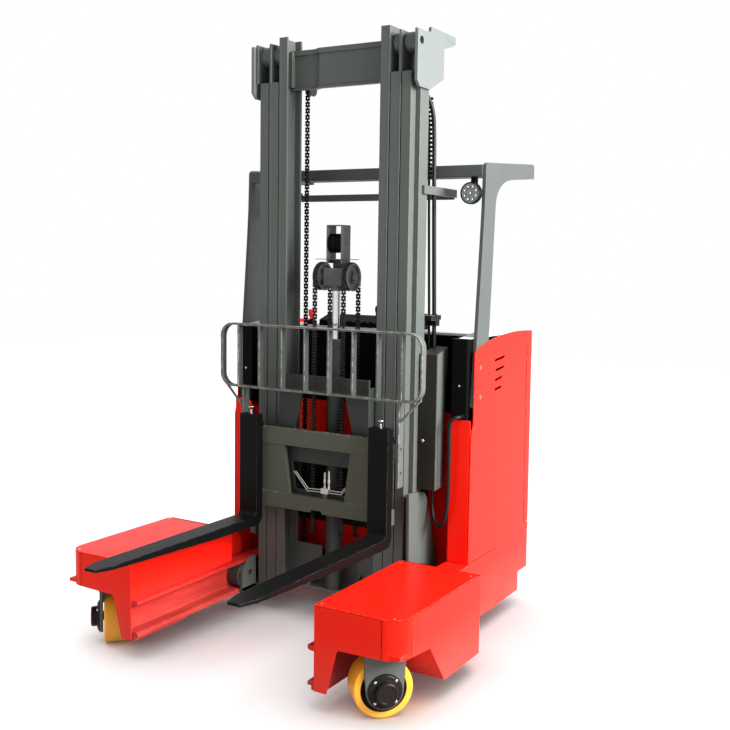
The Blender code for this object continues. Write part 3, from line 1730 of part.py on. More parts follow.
# The hose loop that hangs between the cover on the mast and the gland on the console.
LOOP_START = (0.500, HOSE_Y, COVER_FOOT - SEAT)
LOOP_ROUTE = (
    (0.500, HOSE_Y, 0.728),
    (0.501, 0.332, 0.690),
    (0.506, 0.324, 0.640),
    (0.525, 0.306, 0.588),
    (GLAND_X - 0.101, 0.286, 0.564),
    (GLAND_X - 0.069, 0.277, 0.588),
    (GLAND_X - 0.051, 0.273, 0.660),
    (GLAND_X - 0.045, 0.271, 0.760),
    (GLAND_X - 0.044, 0.270, 0.880),
    (GLAND_X - 0.044, 0.269, 0.980),
    (GLAND_X - 0.044, 0.267, 1.035),
    (GLAND_X - 0.040, 0.262, GLAND_Z - 0.036),
    (GLAND_X - 0.026, 0.259, GLAND_Z - 0.010),
    (GLAND_X - 0.009, 0.264, GLAND_Z - 0.001),
    (GLAND_X, 0.277, GLAND_Z),
    (GLAND_X, 0.288, GLAND_Z),
)
LOOP_END = (GLAND_X, GLAND_FRONT - SEAT, GLAND_Z)
loop_points = [LOOP_START, *smooth_route(LOOP_ROUTE, 3), LOOP_END]
hose_loop = hose("hose_loop", loop_points, LOOP_RADIUS)
hose_loop.data.materials.append(RUBBER)
hang(hose_loop, REACH)
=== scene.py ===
import math

import bmesh
import bpy
from mathutils import Matrix, Vector


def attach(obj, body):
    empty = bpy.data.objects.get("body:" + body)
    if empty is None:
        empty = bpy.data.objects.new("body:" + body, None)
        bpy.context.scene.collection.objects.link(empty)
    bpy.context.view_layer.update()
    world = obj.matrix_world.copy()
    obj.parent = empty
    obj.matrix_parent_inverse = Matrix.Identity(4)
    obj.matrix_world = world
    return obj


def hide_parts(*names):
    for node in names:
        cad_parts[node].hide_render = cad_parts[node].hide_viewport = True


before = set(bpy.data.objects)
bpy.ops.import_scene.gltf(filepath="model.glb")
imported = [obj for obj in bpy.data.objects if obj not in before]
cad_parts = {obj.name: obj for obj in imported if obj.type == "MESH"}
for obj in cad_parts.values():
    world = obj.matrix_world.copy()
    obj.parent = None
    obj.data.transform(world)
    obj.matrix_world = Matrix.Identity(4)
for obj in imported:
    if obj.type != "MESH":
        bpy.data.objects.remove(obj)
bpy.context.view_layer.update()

# The studio: the camera stands ahead of the truck on its left, with the photograph's place, turn and lens.
camera = bpy.data.cameras.new("camera")
camera.sensor_width = 36
camera.lens = 49.437
camera.shift_x = -0.0249
camera.shift_y = -0.0117
camera.clip_end = 60
viewer = bpy.data.objects.new("camera", camera)
bpy.context.scene.collection.objects.link(viewer)
heading, pitch, roll = math.radians(30.0498), math.radians(5.6217), math.radians(0.9525)
ahead = Vector((-math.sin(heading) * math.cos(pitch), math.cos(heading) * math.cos(pitch), -math.sin(pitch)))
right = Vector((math.cos(heading), math.sin(heading), 0))
up = right.cross(ahead)
tilted_right = math.cos(roll) * right + math.sin(roll) * up
tilted_up = math.cos(roll) * up - math.sin(roll) * right
turn = Matrix((tilted_right, tilted_up, -ahead)).transposed().to_4x4()
viewer.matrix_world = Matrix.Translation((2.7054, -3.9842, 1.8572)) @ turn
bpy.context.scene.camera = viewer

# The studio floor is a pale seamless sheet, and the walls are plain white light.
bm = bmesh.new()
bmesh.ops.create_grid(bm, x_segments=1, y_segments=1, size=14)
floor_mesh = bpy.data.meshes.new("studio_floor")
bm.to_mesh(floor_mesh)
bm.free()
studio_floor = bpy.data.objects.new("studio_floor", floor_mesh)
bpy.context.scene.collection.objects.link(studio_floor)
seamless = bpy.data.materials.new("seamless paper")
seamless.use_nodes = True
seamless.node_tree.nodes["Principled BSDF"].inputs["Base Color"].default_value = (0.93, 0.93, 0.93, 1)
seamless.node_tree.nodes["Principled BSDF"].inputs["Roughness"].default_value = 0.9
floor_mesh.materials.append(seamless)
world = bpy.data.worlds.new("studio")
world.use_nodes = True
world.node_tree.nodes["Background"].inputs["Color"].default_value = (1, 1, 1, 1)
world.node_tree.nodes["Background"].inputs["Strength"].default_value = 1.0
bpy.context.scene.world = world
bpy.context.scene.view_settings.view_transform = "Standard"


def softbox(name, place, target, size, watts):
    """A square soft light aimed at a point."""
    light = bpy.data.lights.new(name, "AREA")
    light.size = size
    light.energy = watts
    lamp = bpy.data.objects.new(name, light)
    bpy.context.scene.collection.objects.link(lamp)
    lamp.location = place
    lamp.rotation_euler = (Vector(target) - Vector(place)).to_track_quat("-Z", "Y").to_euler()
    return lamp


# The key light and the edge light are flagged off the paper, and a light from above whitens only the paper,
# so that it keeps an even tone.
key_light = softbox("key light", (5.4, 0.2, 3.8), (0, 0.2, 1.0), 2.6, 1500)
edge_light = softbox("edge light", (4.8, -1.7, 2.3), (0, 0.1, 1.3), 1.0, 130)
flagged = bpy.data.collections.new("off the key light")
flagged.objects.link(studio_floor)
key_light.light_linking.receiver_collection = flagged
edge_light.light_linking.receiver_collection = flagged
flagged.collection_objects[0].light_linking.link_state = "EXCLUDE"
wash = bpy.data.lights.new("paper wash", "SUN")
wash.energy = 1.6
wash.angle = math.radians(60)
paper_light = bpy.data.objects.new("paper wash", wash)
bpy.context.scene.collection.objects.link(paper_light)
washed = bpy.data.collections.new("under the paper wash")
washed.objects.link(studio_floor)
paper_light.light_linking.receiver_collection = washed


# The hose loop: a hydraulic hose of black rubber hangs between the mast's cover and the gland on the
# console. It is crimped into a fitting at both ends and sags under its own weight. Its route is in metres,
# as in part.py.
LOOP_START = (0.500, 0.335, 0.7447)
LOOP_ROUTE = (
    (0.500, 0.335, 0.728),
    (0.501, 0.332, 0.690),
    (0.506, 0.324, 0.640),
    (0.525, 0.306, 0.588),
    (0.560, 0.286, 0.564),
    (0.592, 0.277, 0.588),
    (0.610, 0.273, 0.660),
    (0.616, 0.271, 0.760),
    (0.617, 0.270, 0.880),
    (0.617, 0.269, 0.980),
    (0.617, 0.267, 1.035),
    (0.621, 0.262, 1.072),
    (0.635, 0.259, 1.098),
    (0.652, 0.264, 1.107),
    (0.661, 0.277, 1.108),
    (0.661, 0.288, 1.108),
)
LOOP_END = (0.661, 0.2977, 1.108)
LOOP_DIAMETER = 0.018


def smooth_route(points, steps):
    """A smooth curve through a route's points."""
    route = []
    for index in range(len(points) - 1):
        a = Vector(points[max(index - 1, 0)])
        b = Vector(points[index])
        c = Vector(points[index + 1])
        d = Vector(points[min(index + 2, len(points) - 1)])
        for step in range(steps):
            t = step / steps
            curve = 2 * b + (c - a) * t + (2 * a - 5 * b + 4 * c - d) * t**2
            route.append((curve + (3 * b - a - 3 * c + d) * t**3) / 2)
    route.append(Vector(points[-1]))
    return route


def shown(name, data, material, body, *nodes, slot=None):
    """A piece of a mesh or curve, riding on a body, in the place of its CAD nodes; the slot argument is not
    used.
    """
    data.materials.append(material)
    piece = bpy.data.objects.new(name, data)
    bpy.context.scene.collection.objects.link(piece)
    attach(piece, body)
    if nodes:
        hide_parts(*nodes)
    return piece


def hose_curve(name, points, radius, material, body, *nodes):
    """A round hose along a route in metres, as a curve with filled ends."""
    curve = bpy.data.curves.new(name, "CURVE")
    curve.dimensions = "3D"
    curve.bevel_depth = radius
    curve.bevel_resolution = 4
    curve.use_fill_caps = True
    line = curve.splines.new("POLY")
    line.points.add(len(points) - 1)
    for point, place in zip(line.points, points):
        point.co = (*place, 1)
    return shown(name, curve, material, body, *nodes)


def finish(name, colour, roughness, metallic=0.0, gleam=0.3, coat=0.0, mottle=0.08, mottle_scale=5.0,
           grain=0.15, grain_scale=220.0, wear=None, dust=0.0, streak=(1, 1, 1), sheen=(1, 1, 1)):
    """A finish with uneven colour and gloss, a fine grain, worn edges and road dust low down."""
    material = bpy.data.materials.new(name)
    material.use_nodes = True
    tree = material.node_tree

    def node(kind, constants, sources, **settings):
        """A node's outputs, once its settings, constants and links are in."""
        fresh = tree.nodes.new("ShaderNode" + kind)
        for setting, value in settings.items():
            setattr(fresh, setting, value)
        return filled(fresh, constants, sources).outputs

    def filled(fresh, constants, sources):
        for socket, value in constants.items():
            fresh.inputs[socket].default_value = value
        for socket, source in sources.items():
            tree.links.new(source, fresh.inputs[socket])
        return fresh

    def over(layer, colour, share):
        """A colour laid over a layer where the share is high."""
        return node("Mix", {"B": (*colour, 1)}, {"A": layer, "Factor": share}, data_type="RGBA")["Result"]

    def product(first, second):
        return node("Math", {}, {0: first, 1: second}, operation="MULTIPLY")["Value"]

    place = node("TexCoord", {}, {})["Object"]
    stretched = node("Mapping", {"Scale": streak}, {"Vector": place})["Vector"]
    cloudy = node("TexNoise", {"Scale": mottle_scale, "Detail": 6}, {"Vector": stretched})["Fac"]
    dark = [part * (1 - mottle) for part in colour]
    pale = [min(1, part * (1 + mottle)) for part in colour]
    tints = {"A": (*dark, 1), "B": (*pale, 1)}
    layer = node("Mix", tints, {"Factor": cloudy}, data_type="RGBA")["Result"]
    if dust:
        height = node("SeparateXYZ", {}, {"Vector": place})["Z"]
        fall = {"From Min": 0.35, "From Max": 0.02, "To Max": dust}
        low = node("MapRange", fall, {"Value": height})["Result"]
        layer = over(layer, (0.16, 0.13, 0.11), product(low, cloudy))
    if wear:
        rim = node("Attribute", {}, {}, attribute_name="rim")["Fac"]
        chips = node("TexNoise", {"Scale": 38, "Detail": 8}, {"Vector": place})["Fac"]
        gate = node("MapRange", {"From Min": 0.44, "From Max": 0.62}, {"Value": chips})["Result"]
        layer = over(layer, wear, product(rim, gate))
    limits = {"To Min": max(0.02, roughness - 0.08), "To Max": roughness + 0.08}
    gloss = node("MapRange", limits, {"Value": cloudy})["Result"]
    fine = node("TexNoise", {"Scale": grain_scale, "Detail": 3}, {"Vector": stretched})["Fac"]
    relief = node("Bump", {"Strength": grain, "Distance": 0.001}, {"Height": fine})["Normal"]
    base = {"Metallic": metallic, "Specular IOR Level": gleam, "Specular Tint": (*sheen, 1)}
    if coat:
        base.update({"Coat Weight": coat, "Coat Roughness": 0.12})
    filled(tree.nodes["Principled BSDF"], base, {"Base Color": layer, "Roughness": gloss, "Normal": relief})
    return material


hose_rubber = finish(
    "hose rubber", (0.005, 0.005, 0.005), 0.42, gleam=0.15, grain=0.25, grain_scale=400
)
loop_points = [Vector(LOOP_START), *smooth_route(LOOP_ROUTE, 8), Vector(LOOP_END)]
hose_loop = hose_curve("hose_loop_rubber", loop_points, LOOP_DIAMETER / 2, hose_rubber, "reach", "hose_loop")


# The outriggers: each is a hollow box of bent and welded steel plate over a load wheel, sprayed gloss red.
# A lid closes it, a notch behind the wheel opens its side, and a channel for the mast's rollers is welded
# inside. From here on, shapes are drawn in millimetres into one mesh, work, and made() turns that mesh into
# a piece.
MM = 0.001
NEAR = 0.001
BOTH = (1, -1)
SIDES = (("left", 1), ("right", -1))
X, Y, Z = (1, 0, 0), (0, 1, 0), (0, 0, 1)
work = bmesh.new()


def drawn(outline, along, low, high, sides=(1,), holes=()):
    """An outline with holes, drawn out on one side or both: (y, z) along x, (x, z) along y, (x, y) along z."""
    for side in sides:
        start, end = (-high, -low) if side < 0 and along == "x" else (low, high)
        place = {
            "x": lambda a, b, t: (t, a, b),
            "y": lambda a, b, t: (side * a, t, b),
            "z": lambda a, b, t: (side * a, b, t),
        }[along]
        rims = []
        for loop in (outline, *holes):
            corners = [work.verts.new(place(a, b, start)) for a, b in loop]
            rims += [work.edges.new(pair) for pair in zip(corners, corners[1:] + corners[:1])]
        if holes:
            filled = bmesh.ops.triangle_fill(work, edges=rims, use_beauty=True)["geom"]
            faces = [item for item in filled if isinstance(item, bmesh.types.BMFace)]
        else:
            faces = [work.faces.new(corners)]
        pulled = bmesh.ops.extrude_face_region(work, geom=faces)["geom"]
        moved = [item for item in pulled if isinstance(item, bmesh.types.BMVert)]
        bmesh.ops.translate(work, verts=moved, vec=place(0, 0, end - start))


def bar(x, y, z, sides=(1,)):
    """A square-edged bar between pairs of limits, on one side or both."""
    for side in sides:
        left, right = sorted((side * x[0], side * x[1]))
        drawn(((left, y[0]), (right, y[0]), (right, y[1]), (left, y[1])), "z", *z)


def rounded(corners, steps=8):
    """An outline from (a, b, radius) corners, each radius drawn as an arc."""
    points = []
    for index, (a, b, radius) in enumerate(corners):
        here = Vector((a, b))
        if radius <= 0:
            points.append((a, b))
            continue
        before = (Vector(corners[index - 1][:2]) - here).normalized()
        after = (Vector(corners[(index + 1) % len(corners)][:2]) - here).normalized()
        half = before.angle(after) / 2
        centre = here + (before + after).normalized() * radius / math.sin(half)
        first = here + before * radius / math.tan(half) - centre
        last = here + after * radius / math.tan(half) - centre
        turn = first.angle_signed(last)
        for step in range(steps + 1):
            spoke = Matrix.Rotation(-turn * step / steps, 2) @ first
            points.append(tuple(centre + spoke))
    return points


def ringed(a, b, radius, count, first=0.0):
    """Evenly spaced (a, b) points on a circle, the first one a part of a step on."""
    turns = [math.tau * (number + first) / count for number in range(count)]
    return [(a + radius * math.cos(turn), b + radius * math.sin(turn)) for turn in turns]


def lathe(profile, centre, axis, steps=32, ring=False):
    """A profile of (radius, distance along the axis) points spun about an axis through the centre."""
    points = [work.verts.new((radius, 0, height)) for radius, height in profile]
    ends = points[1:] + points[:1] if ring else points[1:]
    edges = [work.edges.new(pair) for pair in zip(points, ends)]
    before = set(work.verts)
    whole = points + edges
    bmesh.ops.spin(work, geom=whole, cent=(0, 0, 0), axis=Z, angle=math.tau, steps=steps, use_merge=True)
    spun = points + [vert for vert in work.verts if vert not in before]
    bmesh.ops.remove_doubles(work, verts=spun, dist=NEAR)
    spun = [vert for vert in spun if vert.is_valid]
    lay = Vector(axis).to_track_quat("Z", "Y").to_matrix().to_4x4()
    bmesh.ops.transform(work, matrix=Matrix.Translation(centre) @ lay, verts=spun)


def resized(mesh, share, digits):
    """Scales a mesh under construction and rounds its coordinates, so that typed sizes stay exact."""
    for vert in mesh.verts:
        vert.co = [round(part * share, digits) for part in vert.co]


def soften(width, segments=2, angle=32):
    """Rounds each sharp edge, at its size in metres, and marks its crest, where the finish wears."""
    bmesh.ops.remove_doubles(work, verts=work.verts, dist=NEAR)
    resized(work, MM, 7)
    bmesh.ops.recalc_face_normals(work, faces=work.faces)
    limit = math.radians(angle)
    sharp = [edge for edge in work.edges if len(edge.link_faces) == 2 and edge.calc_face_angle(0) > limit]
    rounds = bmesh.ops.bevel(
        work, geom=sharp, offset=width * MM, offset_type="OFFSET", segments=segments, profile=0.5,
        affect="EDGES", clamp_overlap=True, material=-1,
    )
    strips = {face for face in rounds["faces"] if face.is_valid}
    crest = work.verts.layers.float.get("rim") or work.verts.layers.float.new("rim")
    for vert in work.verts:
        if vert.link_faces and all(face in strips for face in vert.link_faces):
            vert[crest] = 1.0
    resized(work, 1 / MM, 4)


def taken():
    """The finished work, scaled to metres, with an empty mesh left in its place."""
    global work
    full, work = work, bmesh.new()
    bmesh.ops.remove_doubles(full, verts=full.verts, dist=NEAR)
    bmesh.ops.recalc_face_normals(full, faces=full.faces)
    resized(full, MM, 7)
    return full


def made(name, material, body, *nodes, slot=None, angle=40):
    """The work as a smooth-shaded piece, flat where its faces are."""
    full = taken()
    mesh = bpy.data.meshes.new(name)
    full.to_mesh(mesh)
    full.free()
    mesh.shade_smooth()
    mesh.set_sharp_from_angle(angle=math.radians(angle))
    flat = shown(name, mesh, material, body, *nodes, slot=slot).modifiers.new("flat faces", "WEIGHTED_NORMAL")
    flat.keep_sharp = True


red_paint = finish("gloss red paint", (0.58, 0.007, 0.003), 0.26, gleam=0.1, mottle=0.05,
    mottle_scale=3.0, grain=0.05, grain_scale=120, wear=(0.8, 0.06, 0.04), dust=0.4, sheen=(1.0, 0.86, 0.45))
# Darker, streaked red for the roller channels: partly rubbed and stained paint, partly painted shade.
rubbed_and_shaded_red = finish("rubbed red paint with painted shade", (0.36, 0.006, 0.004), 0.42, gleam=0.08, mottle=0.55,
    mottle_scale=11, grain=0.3, grain_scale=150, wear=(0.55, 0.06, 0.04), dust=0.6, streak=(1, 0.22, 2.2))
screw_steel = finish("zinc screws", (0.5, 0.5, 0.48), 0.3, metallic=1.0, grain_scale=500)
for hand, side in SIDES:
    # Side and front walls: the side wall with its notch, the bent corner, and the front wall over the wheel.
    wall = 6
    profile = ((-618, 450), (-618, 290), (-454, 273), (-317, 90), (28, 90), (28, 450))
    drawn(profile, "x", 902, 908, [side])
    bend = rounded(((819, -703, 0), (908, -703, 85), (908, -614, 0)), 14)
    inner = rounded(((908 - wall, -614, 0), (908 - wall, -703 + wall, 79), (819, -703 + wall, 0)), 14)
    drawn([*bend, *inner], "z", 290, 450, [side])
    front = ((504, 450), (504, 278), (504, 90), (564, 90), (612, 276), (622, 285), (822, 290), (822, 450))
    drawn(front, "y", -703, -697, [side])
    drawn(((-697, 450), (-697, 268), (28, 268), (28, 450)), "x", 504, 510, [side])
    bar((510, 902), (22, 28), (278, 450), [side])
    soften(1.2)
    made(f"outrigger_walls_{hand}", red_paint, "chassis", f"outrigger_{hand}")

    # The lid lies in the walls with a narrow joint round it.
    lid = rounded(((504.5, -702.5, 4), (907.5, -702.5, 85), (907.5, -0.5, 4), (504.5, -0.5, 4)), 14)
    drawn(lid, "z", 450.8, 456, [side])
    soften(1.6, 3)
    made(f"outrigger_lid_{hand}", red_paint, "chassis")

    for x, y in ((526, -680), (860, -672), (526, -25), (885, -25)):
        lathe(((0, 2), (2.2, 0.8), (4.2, 1.2), (5.8, 0.4), (6, -1), (0, -1)), (side * x, y, 456), Z, 16)
    made(f"outrigger_screws_{hand}", screw_steel, "chassis")

    # The mast roller's channel: a rolled section with thick lips, open towards the mast. Its darker, streaked
    # red is partly rubbed and stained paint, partly painted shade for the channel's inner faces.
    section = ((468, 278), (547, 278), (547, 108), (468, 108), (468, 122), (476, 130), (528, 133), (535, 140),
        (535, 246), (528, 253), (476, 256), (468, 262))
    drawn(section, "y", -696.5, 475, [side])
    bar((488, 547), (-697, -350), (90, 109), [side])
    soften(1.8)
    # Weld beads along the lips' joints with the plates.
    for z in (279, 89):
        drawn(((side * 503, z - 3), (side * 508, z - 3), (side * 503.5, z + 4)), "y", -690, -352)
    made(f"reach_rail_{hand}", rubbed_and_shaded_red, "chassis")

    # Bulkhead behind the wheel, the wheel bearing's crossplate, and the deck between outrigger and body.
    drawn(((-454, 310), (-454, 273), (-317, 90), (-311, 90), (-448, 275), (-448, 310)), "x", 540, 903, [side])
    bar((537, 903), (-698, -434), (300, 316), [side])
    lathe(((24, 292), (54, 292), (60, 298), (60, 310), (24, 310)), (side * 734, -558.5, 0), Z, 40, ring=True)
    deck = ((592, 24), (908, 24), (712.5, 200), (712.5, 310.7), (592, 310.7))
    drawn(deck, "z", 379, 385, [side])
    drawn(((24, 90), (310.7, 90), (310.7, 380), (24, 380)), "x", 592, 598, [side])
    outer = ((908, 28), (712.5, 200), (712.5, 310.7), (706.5, 310.7), (706.5, 197), (902, 24))
    drawn(outer, "z", 90, 380, [side])
    bar((536, 594), (28, 310.7), (108, 120), [side])
    soften(1.5)
    made(f"outrigger_deck_{hand}", red_paint, "chassis")


# The load wheels: a polyurethane tyre is bonded to a cast hub that turns on an axle in a single-sided yoke.
# The yoke's kingpin turns in the outrigger's crossplate, and four small bolts hold the bearing's cover.
yellow_tyre = finish("yellow polyurethane", (0.72, 0.3, 0.015), 0.42, gleam=0.2, mottle=0.12,
    mottle_scale=9, grain=0.2, grain_scale=160, wear=(0.3, 0.2, 0.1), dust=0.35)
brown_hub = finish("dark brown casting", (0.008, 0.006, 0.005), 0.38, gleam=0.1, mottle=0.2,
    grain=0.3, wear=(0.12, 0.1, 0.09))
mast_grey = finish("satin grey paint", (0.06, 0.067, 0.061), 0.42, gleam=0.18, mottle=0.08,
    mottle_scale=4, grain=0.08, grain_scale=260, wear=(0.1, 0.105, 0.1), dust=0.3)
for hand, side in SIDES:
    centre = Vector((side * 734, -558.5, 125))
    toe = math.radians(45)
    out = Vector((side * math.sin(toe), -math.cos(toe), 0))
    tread = ((97.2, 60), (114, 60), (119.5, 58.8), (123.6, 55.5), (125, 51.5))
    lathe((*[(r, -h) for r, h in tread], *reversed(tread)), centre, out, 80, ring=True)
    made(f"load_tyre_rubber_{hand}", yellow_tyre, f"load_wheel_{hand}", f"load_tyre_{hand}", angle=30)

    # The hub is dished on both faces, and eight bolts hold its bearing.
    lathe(((23.5, -53.5), (48, -54), (51.5, -52), (59, -44), (80, -43), (88, -48), (96.2, -57.5),
        (96.2, 57.5), (88, 54), (80, 50), (59, 50), (51.5, 57), (48, 58), (23.5, 57.5)), centre, out, 56,
        ring=True)
    lay = out.to_track_quat("Z", "Y").to_matrix()
    for a, b in ringed(0, 0, 70, 8):
        spot = centre + lay @ Vector((a, b, -42.5))
        lathe(((0, 4.5), (5.2, 4.5), (6, 3.7), (6, -2), (0, -2)), spot, -out, 6)
    made(f"load_hub_casting_{hand}", brown_hub, f"load_wheel_{hand}", f"load_hub_{hand}")

    # The yoke is drawn facing +Y about the kingpin and then turned to the wheel's toe.
    turned = Matrix.Rotation(math.atan2(out.y, out.x) - math.pi / 2, 4, "Z")
    toed = Matrix.Translation((centre.x, centre.y, 0)) @ turned
    tongue = [(-88, 280), (-84.5, 200)]
    tongue += [*ringed(0, 125, 78, 56)[28:], (78, 125), (84.5, 200), (88, 280)]
    drawn(tongue, "y", 66, 80)
    bar((-90, 90), (-40, 82), (270, 283.8))
    for x in (-60, 54):
        drawn(((66, 271), (66, 205), (65.5, 205), (20, 271)), "x", x, x + 6)
    lathe(((0, 283.5), (58, 283.5), (58, 289), (55, 291.5), (0, 291.5)), (0, 0, 0), Z, 48)
    lathe(((0, 291), (22, 291), (22, 319), (19.5, 321.8), (0, 321.8)), (0, 0, 0), Z, 40)
    lathe(((0, -59.5), (19, -59.5), (21.8, -56.7), (21.8, 67), (0, 67)), (0, 0, 125), Y, 40)
    soften(1.6)
    bmesh.ops.transform(work, matrix=toed, verts=work.verts)
    made(f"load_yoke_plate_{hand}", mast_grey, f"load_steer_{hand}", f"load_yoke_{hand}")

    # Bearing cover with its boss.
    lathe(((0, 78), (72.5, 78), (72.8, 85), (71.2, 87.2), (67, 88), (64, 90.5), (52, 91.2), (49, 92.5),
        (47.5, 96), (47, 112), (45.5, 118), (42, 120.8), (36, 121.6), (34, 119.6), (0, 119.6)), (0, 0, 125),
        Y, 64)
    bmesh.ops.transform(work, matrix=toed, verts=work.verts)
    made(f"load_wheel_cover_{hand}", brown_hub, f"load_steer_{hand}", angle=28)

    for x, z in ringed(0, 125, 61, 4, 0.5):
        lathe(((0, 94.5), (4.2, 94.3), (6.2, 92.5), (6.8, 90), (6.8, 86), (0, 86)), (x, 0, z), Y, 20)
    bmesh.ops.transform(work, matrix=toed, verts=work.verts)
    made(f"load_wheel_bolts_{hand}", screw_steel, f"load_steer_{hand}")


# The side panels: pressed sheet steel in gloss red, held by two quarter-turn fasteners, with four pressed
# vents. A narrow door behind a seam closes the operator's side, and a dark seal shows in the seam. A dark red
# sheet behind the vents is painted shade for the panel's shaded inside.
def slot_hole(start, end, half, steps=6):
    """A long hole with round ends between two points."""
    along = (Vector(end) - Vector(start)).normalized()
    hole = []
    for tip, way in ((Vector(end), along), (Vector(start), -along)):
        for step in range(steps + 1):
            angle = -math.pi / 2 + math.pi * step / steps
            hole.append(tuple(tip + Matrix.Rotation(angle, 2) @ (way * half)))
    return hole


def crowned(points, steps=6):
    """A smooth line through (a, b) points."""
    return [(place.x, place.y) for place in smooth_route([(a, b, 0) for a, b in points], steps)]


dark_fastener = finish("black fastener", (0.02, 0.02, 0.02), 0.3, coat=0.2,
    wear=(0.2, 0.2, 0.2))
# Dark red: a real seal in the seam, and painted shade in the sheet behind the vents.
seal_and_vent_shade = finish("seam rubber and vent shade", (0.016, 0.001, 0.001), 0.7, gleam=0.0)
PANEL_CROWN = ((337, 1417.5), (360, 1426.5), (463, 1454.5), (604, 1477.5), (719, 1487), (839, 1490.5),
    (964, 1489))
for hand, side in SIDES:
    lower = ((311.5, 985), (312, 1000), (316, 1020), (324, 1042), (331, 1062), (334.5, 1085))
    main = [(311.5, 393), *lower, (335, 1120), (335.2, 1405), *crowned(PANEL_CROWN, 5), (974.5, 1488.2),
        (979, 1320), (980.8, 1194.5), (1002.5, 449.5), (1067.6, 436.2), (1067.7, 393)]
    vents = (((571, 1360), (684, 1371)), ((582, 1310), (680, 1321)), ((580, 1261), (660, 1271)),
        ((576, 1214), (651, 1221)))
    drawn(main, "x", 706.8, 712.5, [side], holes=[slot_hole(a, b, 7) for a, b in vents])
    # The front edge is folded inwards.
    drawn(((311.8, 394), (311.8, 980), (316, 1020), (334, 1075), (335.2, 1120), (335.2, 1400), (339.2, 1400),
        (339.2, 1120), (337.5, 1075), (320, 1020), (316, 980), (316, 394)), "x", 706.5, 711, [side])
    soften(1.8, 3)
    made(f"side_panel_sheet_{hand}", red_paint, "chassis", f"side_panel_{hand}")

    door = ((983, 1487.8), (1048.5, 1484.2), (1066.5, 439.5), (1011, 451.8), (989.2, 1195), (987.2, 1320))
    drawn(door, "x", 706.8, 712.2, [side])
    soften(1.8, 3)
    made(f"side_door_{hand}", red_paint, "chassis")

    seam = ((962, 1480), (996, 1480), (1002, 1195), (1024, 468), (1062, 462), (1062, 420), (986, 430),
        (968, 1190))
    drawn(seam, "x", 699, 704, [side])
    # Behind the vents: a dark red sheet, painted shade for the shaded inside seen through them.
    drawn(((545, 1190), (710, 1190), (710, 1395), (545, 1395)), "x", 699, 704, [side])
    made(f"side_panel_seal_and_vent_shade_{hand}", seal_and_vent_shade, "chassis")

    for y, z in ((402, 1338), (406, 1196)):
        lathe(((9.8, -1), (9.8, 0.4), (8.8, 1), (7.5, 0.8), (7, -0.4), (0, -0.4), (0, -1)),
            (side * 712.2, y, z), (side, 0, 0), 28)
        drawn(((y - 6, z - 1.2), (y + 6, z - 1.2), (y + 6, z + 1.2), (y - 6, z + 1.2)), "x", 711.5, 712.4,
            [side])
    made(f"side_panel_fasteners_{hand}", screw_steel, "chassis")


# The low frame: skirts, floor and cross walls of welded sheet steel carry the body, in the same gloss red.
# The floor has a round hole over the drive unit and a plate under which the caster is bolted.
skirt = ((311.8, 85.5), (946.5, 85.5), (947, 86), (947, 187), (1067, 187), (1064, 390), (311.8, 390))
for side in BOTH:
    drawn(skirt, "x", 706.6, 712.4, [side])
    bar((592, 707), (311.2, 317), (85.5, 384.5), [side])
    bar((592, 598), (311.2, 483), (85.5, 384.5), [side])
bar((-706.4, 706.4), (480, 486), (85.5, 384.5))
bar((-706.4, 706.4), (1058, 1063.8), (188, 250.5))
corners = [(-706.4, 484), (706.4, 484), (706.4, 1060), (-706.4, 1060)]
drawn(corners, "z", 245, 251, holes=[ringed(-400, 855, 175, 48)])
bar((350, 490), (730, 870), (228.5, 245.5))
soften(1.4)
made("low_frame", red_paint, "chassis", "chassis_frame")


# The wall round the mast's recess: folded red sheet, welded to the deck, that rises to the console. A black
# sheet in the satin black of the steel parts lies on the wall behind the mast.
wall_round = ((-706, 486, 0), (-706, 311.5, 8), (-592, 311.5, 10), (-592, 480, 12), (592, 480, 12),
    (592, 311.5, 10), (706, 311.5, 8), (706, 486, 0), (700.2, 486, 0), (700.2, 317.2, 3), (597.8, 317.2, 4),
    (597.8, 485.8, 6), (-597.8, 485.8, 6), (-597.8, 317.2, 4), (-700.2, 317.2, 3), (-700.2, 486, 0))
drawn(rounded(wall_round, 6), "z", 385.5, 1046)
# The cheeks end in a rounded upper corner.
cheek = rounded(((593.5, 1040, 0), (705.5, 1040, 0), (705.5, 1089.5, 8), (593.5, 1089.5, 42)), 10)
drawn(cheek, "y", 311.6, 317, BOTH)
bar((-592.5, 592.5), (480.2, 485.8), (1040, 1089.5))
soften(1.2)
made("recess_wall", red_paint, "chassis", "front_wall")
steel_black = finish("satin black paint", (0.005, 0.005, 0.005), 0.36, gleam=0.08, mottle=0.15,
    grain=0.15, wear=(0.16, 0.16, 0.155), dust=0.3)
drawn(rounded(((-440, 430, 20), (400, 430, 20), (400, 920, 20), (-440, 920, 20)), 4), "y", 477, 480)
soften(0.8)
made("black_sheet_behind_mast", steel_black, "chassis")


